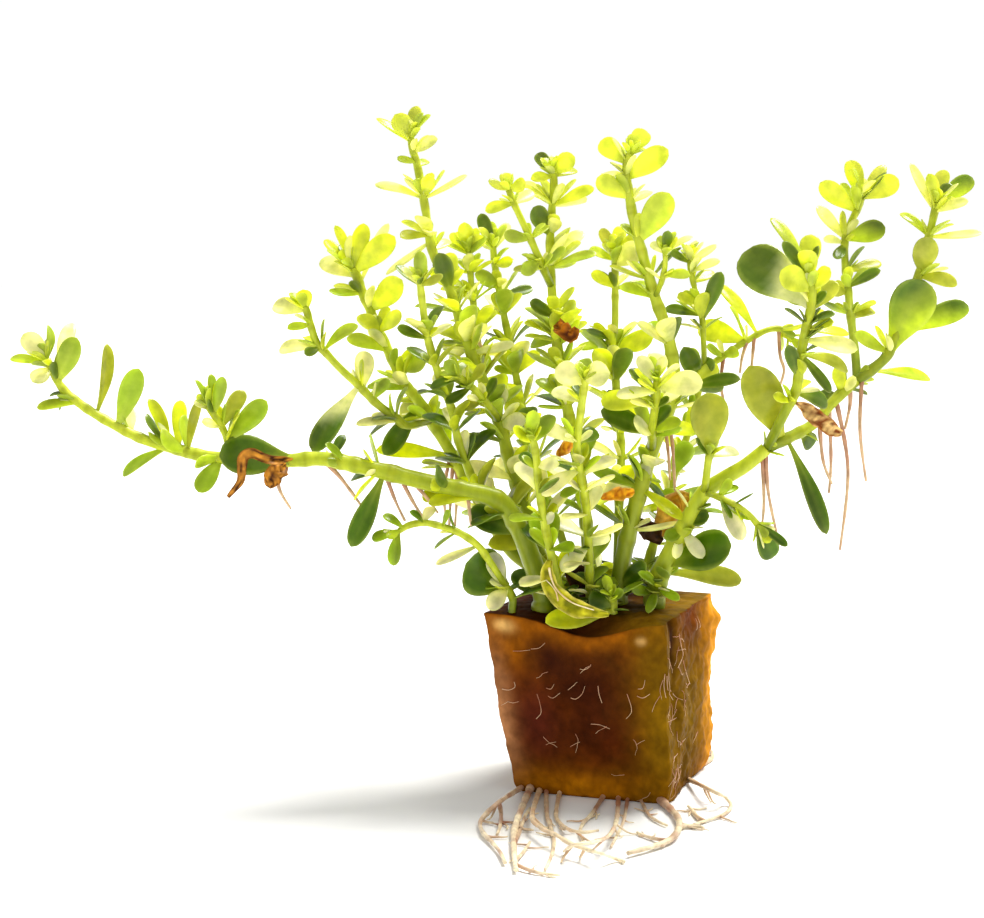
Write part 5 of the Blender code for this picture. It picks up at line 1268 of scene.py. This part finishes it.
def make_shoot(name, plan, materials, rng):
    """A shoot: its stem, the leaves that the model has, its closed tip and its aerial roots."""
    rises = "crown" in plan
    points = [seen(*place) for place in plan["route"]]
    if rises:
        start = crown(*plan["crown"])
        points = [start, start + SKY * 2 * UPRIGHT_START] + points[1:]
    line = smooth(points, LINE_STEP)
    radii = [width * PIXEL / 2 for width in plan["width"]]
    corners = corners_of(name)
    first = 0 if rises else packed_start(name, line, radii[0], corners)
    bones = thinned(line[first:], STEM_SLACK)
    if rises:
        bones.insert(1, bones[0] + SKY * UPRIGHT_START)
    bones = spaced(bones, LINE_STEP)
    growth = Growth()
    nodes = []
    for leaf, letter in packed_leaves(plan, bones, corners):
        leaf = rooted(leaf, line)
        nodes.append(line.index(leaf["base"]) * LINE_STEP)
        letter = letter or rng.choice(list(plan["tones"]))
        add_leaf(growth, leaf, letter, rng)
        add_axil_leaves(growth, leaf, line, rng)
    add_rosette(growth, line, rng)
    stem = line
    if rises:
        stem = [line[0] - SKY * STEM_BURIED] + line
        add_foot_leaves(growth, line, rng)
    add_stem(growth, stem, radii, nodes, rng)
    for strand in plan.get("hair_roots", []):
        hang_root(growth, bones, strand, corners)
    placed(growth.as_object(name + "_dressed", materials), name)


def hang_root(growth, bones, strand, corners):
    """A thin aerial root, where the model has it."""
    places = [Vector(place) for place in strand]
    base = min(bones, key=lambda p: (shows(p) - places[0]).length)
    for forward in ROOT_SHIFTS:
        points = [base] + [seen(*place, base.y / MM + forward) for place in places[1:]]
        if corners.find(points[-1])[2] < HAIR_ROOT + START_SLACK:
            add_root(growth, points, (HAIR_ROOT * 1.1, HAIR_ROOT * 0.6), AERIAL_TONES, 2)
            return


def seed_of(name):
    """A number of its own for each name, to start a pattern from."""
    return sum(ord(letter) for letter in name) % 97


def noise_grid(s, across, along_scale, across_scale, start, layer):
    """Noise over a blade, from the shares along it and the places across it."""
    return np.array([
        [noise.noise(Vector((along_scale * u + start, across_scale * v, layer))) for v in across[0]]
        for u in s[:, 0]
    ])


def make_dead_leaf(name, look, width, route, materials):
    """A dead leaf: a thin crumpled blade that curls along its route."""
    low_tone, high_tone, edge_tone = DEAD_TONES[look]
    line = smooth([seen(*place) for place in route], DEAD_STEP)
    s = np.linspace(0, 1, len(line))[:, None]
    x = np.cos(turns(DEAD_AROUND))[None, :]
    y = np.sin(turns(DEAD_AROUND))[None, :]
    spots = np.array([tuple(point) for point in line])
    ahead = unit_rows(np.gradient(spots, axis=0))
    side = unit_rows(np.cross(ahead, np.array(EYE)[None] - spots))
    face = np.cross(side, ahead)
    half = width * PIXEL / 2 * np.sin(math.pi * (0.05 + 0.87 * s)) ** 0.8
    crumple = noise_grid(s, x, 6, 1.6, seed_of(name), 3)
    patch = noise_grid(s, y, 13, 3.5, seed_of(name), 8)
    rise = half * (0.55 * x**2 + 0.9 * crumple) + DEAD_THICK / 2 * y
    spread = half * x * (1 + 0.3 * crumple)
    rings = spots[:, None] + spread[..., None] * side[:, None] + rise[..., None] * face[:, None]
    tones = mixed(low_tone, high_tone, part(0.5 + 1.3 * crumple + 1.5 * patch)[..., None])
    edge = part((abs(x) - 0.8) / 0.2) * 0.7
    growth = Growth()
    growth.loft(rings, mixed(tones, edge_tone, edge[..., None]), 0)
    placed(growth.as_object(name + "_dressed", materials), name)


def wall_by(point, height, wall):
    """The place low on the plug's wall behind a point, or else nearest to it, and the way out of the wall."""
    start = Vector((point.x, point.y, height))
    place, normal = wall.ray_cast(start, Vector((0, 1, 0)), PLUG_TOP)[:2]
    if not place:
        place, normal = wall.find_nearest(start)[:2]
    return Vector((place.x, place.y, height)), Vector((normal.x, normal.y, 0)).normalized()


def make_root(name, strands, wall, materials, rng):
    """A root with its side strands, and short laterals that lie beside it."""
    growth = Growth()
    main_line = None
    tones = (ROOT_TONES[seed_of(name) % 2], ROOT_TONES[2])
    for width, strand in strands:
        radius = width * PIXEL / 2
        points = [laid(*place, radius) for place in strand]
        if main_line:
            points[0] = min(main_line, key=lambda p: (p - points[0]).length)
        else:
            place, outward = wall_by(points[0], radius, wall)
            points[0] = place - outward * ROOT_DEPTH * radius
        line = smooth(points, LINE_STEP)
        main_line = main_line or line
        add_root(growth, line, (radius * 0.98, radius * 0.55), tones, 0)
        for number in range(LATERALS):
            place = line[int(rng.uniform(0.35, 0.95) * (len(line) - 1))]
            add_lateral(growth, place, radius * 0.5, tones, rng)
    thing = growth.as_object(name + "_dressed", materials)
    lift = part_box(name)[0].z - min(vertex.co.z for vertex in thing.data.vertices)
    thing.data.transform(Matrix.Translation((0, 0, lift)))
    placed(thing, name)


def add_lateral(growth, place, radius, tones, rng):
    """A short side root that lies down beside its root."""
    heading = rng.uniform(0, 2 * math.pi)
    step = rng.uniform(0.5, 1.2) * MM
    points = [place]
    for k in range(1, 5):
        heading += rng.uniform(-0.6, 0.6)
        point = points[-1] + bearing(heading) * step
        point.z = max(radius, place.z * (1 - k / 3))
        points.append(point)
    add_root(growth, points, (radius, radius * 0.5), tones, 0, FINE_ROOT_STEP)


def plug_place(x, y, rise):
    """Where a point of the plug's unit block lies: a narrow foot, cut corners, a sunken front rim."""
    width = PLUG_FOOT + (PLUG_TOP - PLUG_FOOT) * rise**PLUG_FLARE
    corner = max(0, abs(x) + abs(y) - CORNER_START)
    flat = Vector((x, y, 0)) * (1 - PLUG_CORNER * corner)
    place = Matrix.Rotation(PLUG_TURN, 3, "Z") @ (flat * width)
    place.x += PLUG_LEAN * rise
    dip = math.exp(-(((x - 0.08) / 0.25) ** 2) - ((y + 0.5) / 0.12) ** 2) * RIM_DIP
    place.z = rise * PLUG_HEIGHT - dip * max((rise - 0.6) / 0.4, 0)
    return place


def plug_side(x, y):
    """The side of the plug's unit block that a point is on, and how far across that side it is."""
    if y < -SIDE:
        return "front", x + 0.5
    if x > SIDE:
        return "right", y + 0.5
    if y > SIDE:
        return "back", x + 0.5
    if x < -SIDE:
        return "left", y + 0.5
    return "top", x + 0.5


def plug_tone(x, y, rise, place):
    """The colour of the soaked wool: brown, with orange, purple, olive and dark patches; painted shade on its
    top and in the crevice by its right corner, painted highlights of its wet film, and a painted glow at its
    right side's back edge.
    """
    cloud = noise.fractal(place * 110, 0.8, 2.0, 4)
    fleck = noise.noise(place * 900)
    tone = WOOL["brown"]
    side, across = plug_side(x, y)
    for name, middle, height, wide, tall in WOOL_PATCHES[side]:
        away = ((across - middle) / wide) ** 2 + ((rise - height) / tall) ** 2
        share = math.exp(-away * (1 + 0.5 * cloud)) * PATCH_STRENGTH
        tone = mixed(tone, WOOL[name], min(max(share + 0.12 * cloud * share, 0), 1))
    return tone * (1 + 0.27 * cloud + 0.13 * fleck)


def plug_relief(x, y, rise, place):
    """The same point of the plug, moved by lumps, fibres, the fold and the knob by its right corners."""
    outward = Matrix.Rotation(PLUG_TURN, 3, "Z") @ Vector((x, y, 0)).normalized()
    reach = max(abs(x), abs(y))
    coarse = noise.noise(place * PLUG_LUMPS_PER_METRE) * PLUG_LUMP
    clump = noise.fractal(place * 260, 0.7, 2.0, 3) * CLUMP
    fibre = abs(noise.noise(Vector((place.x * 1300, place.y * 1300, place.z * 420)))) * FIBRE
    if reach > SIDE:
        rough = 0.6 + min(max(x + 0.5, 0), 1) ** 4
        fold = math.exp(-(((x - 0.5) / 0.05) ** 2) - ((y + 0.36) / 0.07) ** 2) * min(1, rise * 1.4)
        knob = math.exp(-(((x - 0.5) / 0.1) ** 2) - ((y - 0.5) / 0.1) ** 2 - ((rise - 0.85) / 0.07) ** 2)
        place = place + outward * (coarse + rough * (clump + fibre) - fold * FOLD_DEPTH + knob * KNOB)
    if rise > 0.99:
        edge = min(max((reach - 0.40) / 0.1, 0), 1)
        place.z += (clump * 0.9 + fibre) * (1 - edge) - edge * RIM_ROUND
    elif reach > SIDE:
        place.z -= max(rise - 0.97, 0) / 0.03 * RIM_ROUND
    if rise < 0.01:
        place.z = 0
    return place


def make_plug(materials):
    """The soaked wool plug: lumps, fibres, a sunken front rim and a fold by its right corner."""
    shape = bmesh.new()
    bmesh.ops.create_cube(shape, size=1)
    bmesh.ops.subdivide_edges(shape, edges=shape.edges, cuts=PLUG_CUTS, use_grid_fill=True)
    tones = []
    for vertex in shape.verts:
        x, y, z = vertex.co
        rise = z + 0.5
        place = plug_place(x, y, rise)
        tones.append(plug_tone(x, y, rise, place))
        vertex.co = plug_relief(x, y, rise, place)
    bmesh.ops.recalc_face_normals(shape, faces=shape.faces)
    mesh = bpy.data.meshes.new("plug_dressed")
    shape.to_mesh(mesh)
    shape.free()
    finish_mesh(mesh, np.clip(np.array(tones), 0.002, 1), materials)
    placed(added("plug_dressed", mesh), "plug")
    return skin_of(mesh)


def skin_of(mesh):
    """A mesh, ready for finding where a line meets it."""
    return BVHTree.FromPolygons([v.co for v in mesh.vertices], [p.vertices for p in mesh.polygons])


def lay_seen_hairs(growth, hairs, skin, rise, tones):
    """Fine hairs that lie on a skin where the photograph shows them."""
    for route, width in hairs:
        points = []
        for column, row in route:
            ahead = sight(column, row).normalized()
            place = skin.ray_cast(EYE, ahead)[0]
            if place:
                points.append(place - ahead * rise)
        if len(points) > 1:
            thick = width * PIXEL * SEEN_HAIR_SHARE
            add_root(growth, points, (thick, thick / 2), tones, 0, SEEN_HAIR_STEP)


def add_short_hair(growth, skin, turn, rng):
    """A short hair that wanders down the plug's wall from a random height."""
    height = rng.uniform(0.05, 0.95) * PLUG_HEIGHT
    far = Vector((math.cos(turn) * HAIR_RAY, math.sin(turn) * HAIR_RAY, height))
    place, normal = skin.ray_cast(far, Vector((-far.x, -far.y, 0)).normalized())[:2]
    heading = rng.uniform(-1.2, 1.2)
    points = [place + normal * HAIR_LIFT / 2]
    for k in range(4):
        heading += rng.uniform(-0.7, 0.7)
        sideways = normal.cross(SKY).normalized()
        step = sideways * math.sin(heading) - SKY * math.cos(heading)
        place, normal = skin.find_nearest(points[-1] + step * rng.uniform(*HAIR_STEP))[:2]
        points.append(place + normal * HAIR_LIFT)
    add_root(growth, points, HAIR_RADII, WOOL_HAIR_TONES, 0, FINE_ROOT_STEP)


def make_wool_hairs(skin, old_leaf, materials, rng):
    """Fine pale root hairs: a few seen ones on the plug and the old leaf, and many short ones on the plug."""
    growth = Growth()
    lay_seen_hairs(growth, WOOL_HAIRS, skin, WOOL_HAIR_RISE, WOOL_HAIR_TONES)
    lay_seen_hairs(growth, CROWN_HAIRS, old_leaf, CROWN_HAIR_RISE, CROWN_HAIR_TONES)
    for number in range(HAIR_COUNT):
        turn = HAIRY_CORNER + rng.normal(0, HAIRY_SPREAD) if number % 2 else rng.uniform(0, 2 * math.pi)
        add_short_hair(growth, skin, turn, rng)
    thing = growth.as_object("wool_hairs", materials)
    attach(thing, "root")


def link(tree, a, out, b, into):
    """Joins an output socket to an input socket."""
    tree.links.new(a.outputs[out], b.inputs[into])


def noise_pattern(tree, scale, detail, tall):
    """A noise pattern that is fixed to the piece, and stretched upward where tall is under 1."""
    spot = tree.nodes.new("ShaderNodeTexCoord")
    mapping = tree.nodes.new("ShaderNodeMapping")
    mapping.inputs["Scale"].default_value = (1, 1, tall)
    pattern = tree.nodes.new("ShaderNodeTexNoise")
    pattern.inputs["Scale"].default_value = scale
    pattern.inputs["Detail"].default_value = detail
    link(tree, spot, "Object", mapping, "Vector")
    link(tree, mapping, "Vector", pattern, "Vector")
    return pattern


def colour_ramp(tree, low, low_colour, high, high_colour):
    """A ramp between two colours."""
    ramp = tree.nodes.new("ShaderNodeValToRGB")
    for end, place, colour in zip(ramp.color_ramp.elements, (low, high), (low_colour, high_colour)):
        end.position = place
        end.color = (*colour, 1)
    return ramp


def multiplied(tree, colour):
    """A node that multiplies a colour by what its socket 7 holds or is joined to."""
    product = tree.nodes.new("ShaderNodeMix")
    product.data_type = "RGBA"
    product.blend_type = "MULTIPLY"
    product.inputs["Factor"].default_value = 1
    tree.links.new(colour, product.inputs[6])
    return product


def grown_material(name, roughness, specular, patches, grain):
    """A surface with the piece's own colours, made darker and lighter in patches, and fine relief.

    patches holds their scale, dark tint, light tint, detail and stretch; grain its scale, depth, strength and
    stretch. Also gives the shader, the colour's socket and the relief's node.
    """
    material = bpy.data.materials.new(name)
    material.use_nodes = True
    tree = material.node_tree
    surface = tree.nodes["Principled BSDF"]
    surface.inputs["Roughness"].default_value = roughness
    surface.inputs["Specular IOR Level"].default_value = specular
    tone = tree.nodes.new("ShaderNodeAttribute")
    tone.attribute_name = "tone"
    scale, dark, light, detail, tall = patches
    ramp = colour_ramp(tree, 0.3, dark, 0.7, light)
    link(tree, noise_pattern(tree, scale, detail, tall), "Fac", ramp, "Fac")
    product = multiplied(tree, tone.outputs["Color"])
    link(tree, ramp, "Color", product, 7)
    link(tree, product, 2, surface, "Base Color")
    scale, depth, strength, tall = grain
    bump = tree.nodes.new("ShaderNodeBump")
    bump.inputs["Strength"].default_value = strength
    bump.inputs["Distance"].default_value = depth
    link(tree, noise_pattern(tree, scale, 3, tall), "Fac", bump, "Height")
    link(tree, bump, "Normal", surface, "Normal")
    return material, surface, product.outputs[2], bump


def leaf_material():
    """Glossy, fleshy leaf that lets light through."""
    patches = (420, (0.78, 0.82, 0.6), (1.15, 1.12, 1.1), 4, 1)
    material, surface, colour, bump = grown_material("leaf", 0.22, 0.4, patches, (1100, 0.06 * MM, 0.4, 1))
    tree = material.node_tree
    warmer = multiplied(tree, colour)
    warmer.inputs[7].default_value = (*GLOW_TINT, 1)
    glow = tree.nodes.new("ShaderNodeBsdfTranslucent")
    link(tree, warmer, 2, glow, "Color")
    link(tree, bump, "Normal", glow, "Normal")
    both = tree.nodes.new("ShaderNodeMixShader")
    both.inputs["Fac"].default_value = GLOW_SHARE
    link(tree, surface, "BSDF", both, 1)
    link(tree, glow, "BSDF", both, 2)
    link(tree, both, "Shader", tree.nodes["Material Output"], "Surface")
    return material


def stem_material():
    """Smooth wet stem, streaked along its length."""
    patches = (700, (0.8, 0.84, 0.7), (1.14, 1.12, 1.0), 3, 0.35)
    material, surface = grown_material("stem", 0.3, 0.2, patches, (1200, 0.05 * MM, 0.3, 0.4))[:2]
    surface.inputs["Subsurface Weight"].default_value = 0.15
    surface.inputs["Subsurface Radius"].default_value = (0.8, 0.7, 0.1)
    surface.inputs["Subsurface Scale"].default_value = 1.5 * MM
    return material


def root_material():
    """Pale root, waxy and a little uneven."""
    patches = (600, (0.72, 0.66, 0.6), (1.2, 1.15, 1.1), 4, 1)
    return grown_material("root", 0.42, 0.5, patches, (1500, 0.08 * MM, 0.5, 1))[0]


def dead_material():
    """Dead, browned leaf."""
    patches = (500, (0.6, 0.5, 0.4), (1.35, 1.2, 1.0), 4, 1)
    return grown_material("dead_leaf", 0.5, 0.12, patches, (900, 0.2 * MM, 0.6, 1))[0]


def wool_material():
    """Soaked rockwool: matted fibres with a wet film."""
    patches = (460, (0.72, 0.68, 0.6), (1.28, 1.24, 1.14), 6, 0.85)
    return grown_material("wet_rockwool", 0.55, 0.02, patches, (900, 0.2 * MM, 0.35, 0.5))[0]


def make_stage():
    """A plain pale floor."""
    mesh = bpy.data.meshes.new("floor")
    shape = bmesh.new()
    bmesh.ops.create_circle(shape, cap_ends=True, segments=96, radius=FLOOR_RADIUS)
    shape.to_mesh(mesh)
    shape.free()
    material = bpy.data.materials.new("floor")
    material.use_nodes = True
    surface = material.node_tree.nodes["Principled BSDF"]
    surface.inputs["Base Color"].default_value = (0.85, 0.85, 0.85, 1)
    surface.inputs["Roughness"].default_value = 0.8
    mesh.materials.append(material)
    added("floor", mesh)


def make_sun():
    """The main light: soft sunlight from above, behind and to the right."""
    sun = bpy.data.lights.new("sun", "SUN")
    sun.energy = 5.5
    sun.angle = math.radians(26)
    sun.color = (1, 0.985, 0.94)
    direction = Vector((-0.45, -0.40, -1.2))
    added("sun", sun).rotation_euler = direction.to_track_quat("-Z", "Y").to_euler()


def make_world():
    """A pale studio, bright round its edge and dimmer overhead."""
    world = bpy.data.worlds.new("studio")
    world.use_nodes = True
    tree = world.node_tree
    spot = tree.nodes.new("ShaderNodeTexCoord")
    parts = tree.nodes.new("ShaderNodeSeparateXYZ")
    ramp = colour_ramp(tree, 0.14, (1.02, 1.02, 1.02), 0.4, (0.68, 0.68, 0.68))
    link(tree, spot, "Generated", parts, "Vector")
    link(tree, parts, "Z", ramp, "Fac")
    link(tree, ramp, "Color", tree.nodes["Background"], "Color")
    bpy.context.scene.world = world
    bpy.context.scene.view_settings.view_transform = "Standard"


def make_camera():
    """The camera of the picture that the routes are drawn on."""
    camera = bpy.data.cameras.new("camera")
    camera.sensor_width = SENSOR_MM
    camera.lens = SENSOR_MM * DISTANCE / (PICTURE_WIDTH * PIXEL)
    camera.clip_start = 0.01
    view = Matrix((RIGHT, UP, -AHEAD)).transposed().to_4x4()
    view.translation = EYE
    thing = added("camera", camera)
    thing.matrix_world = view
    bpy.context.scene.camera = thing


def main():
    make_camera()
    make_sun()
    make_world()
    make_stage()
    rng = np.random.default_rng(7)
    foliage = [leaf_material(), stem_material(), root_material()]
    for name, plan in SHOOTS.items():
        make_shoot(name, plan, foliage, rng)
    dead = [dead_material()]
    for name, (look, width, route) in DEAD_LEAVES.items():
        make_dead_leaf(name, look, width, route, dead)
    roots = [root_material()]
    skin = make_plug([wool_material()])
    for name, strands in ROOTS.items():
        make_root(name, strands, skin, roots, rng)
    make_wool_hairs(skin, skin_of(bpy.data.meshes["old_leaf_crown_dressed"]), roots, rng)


main()
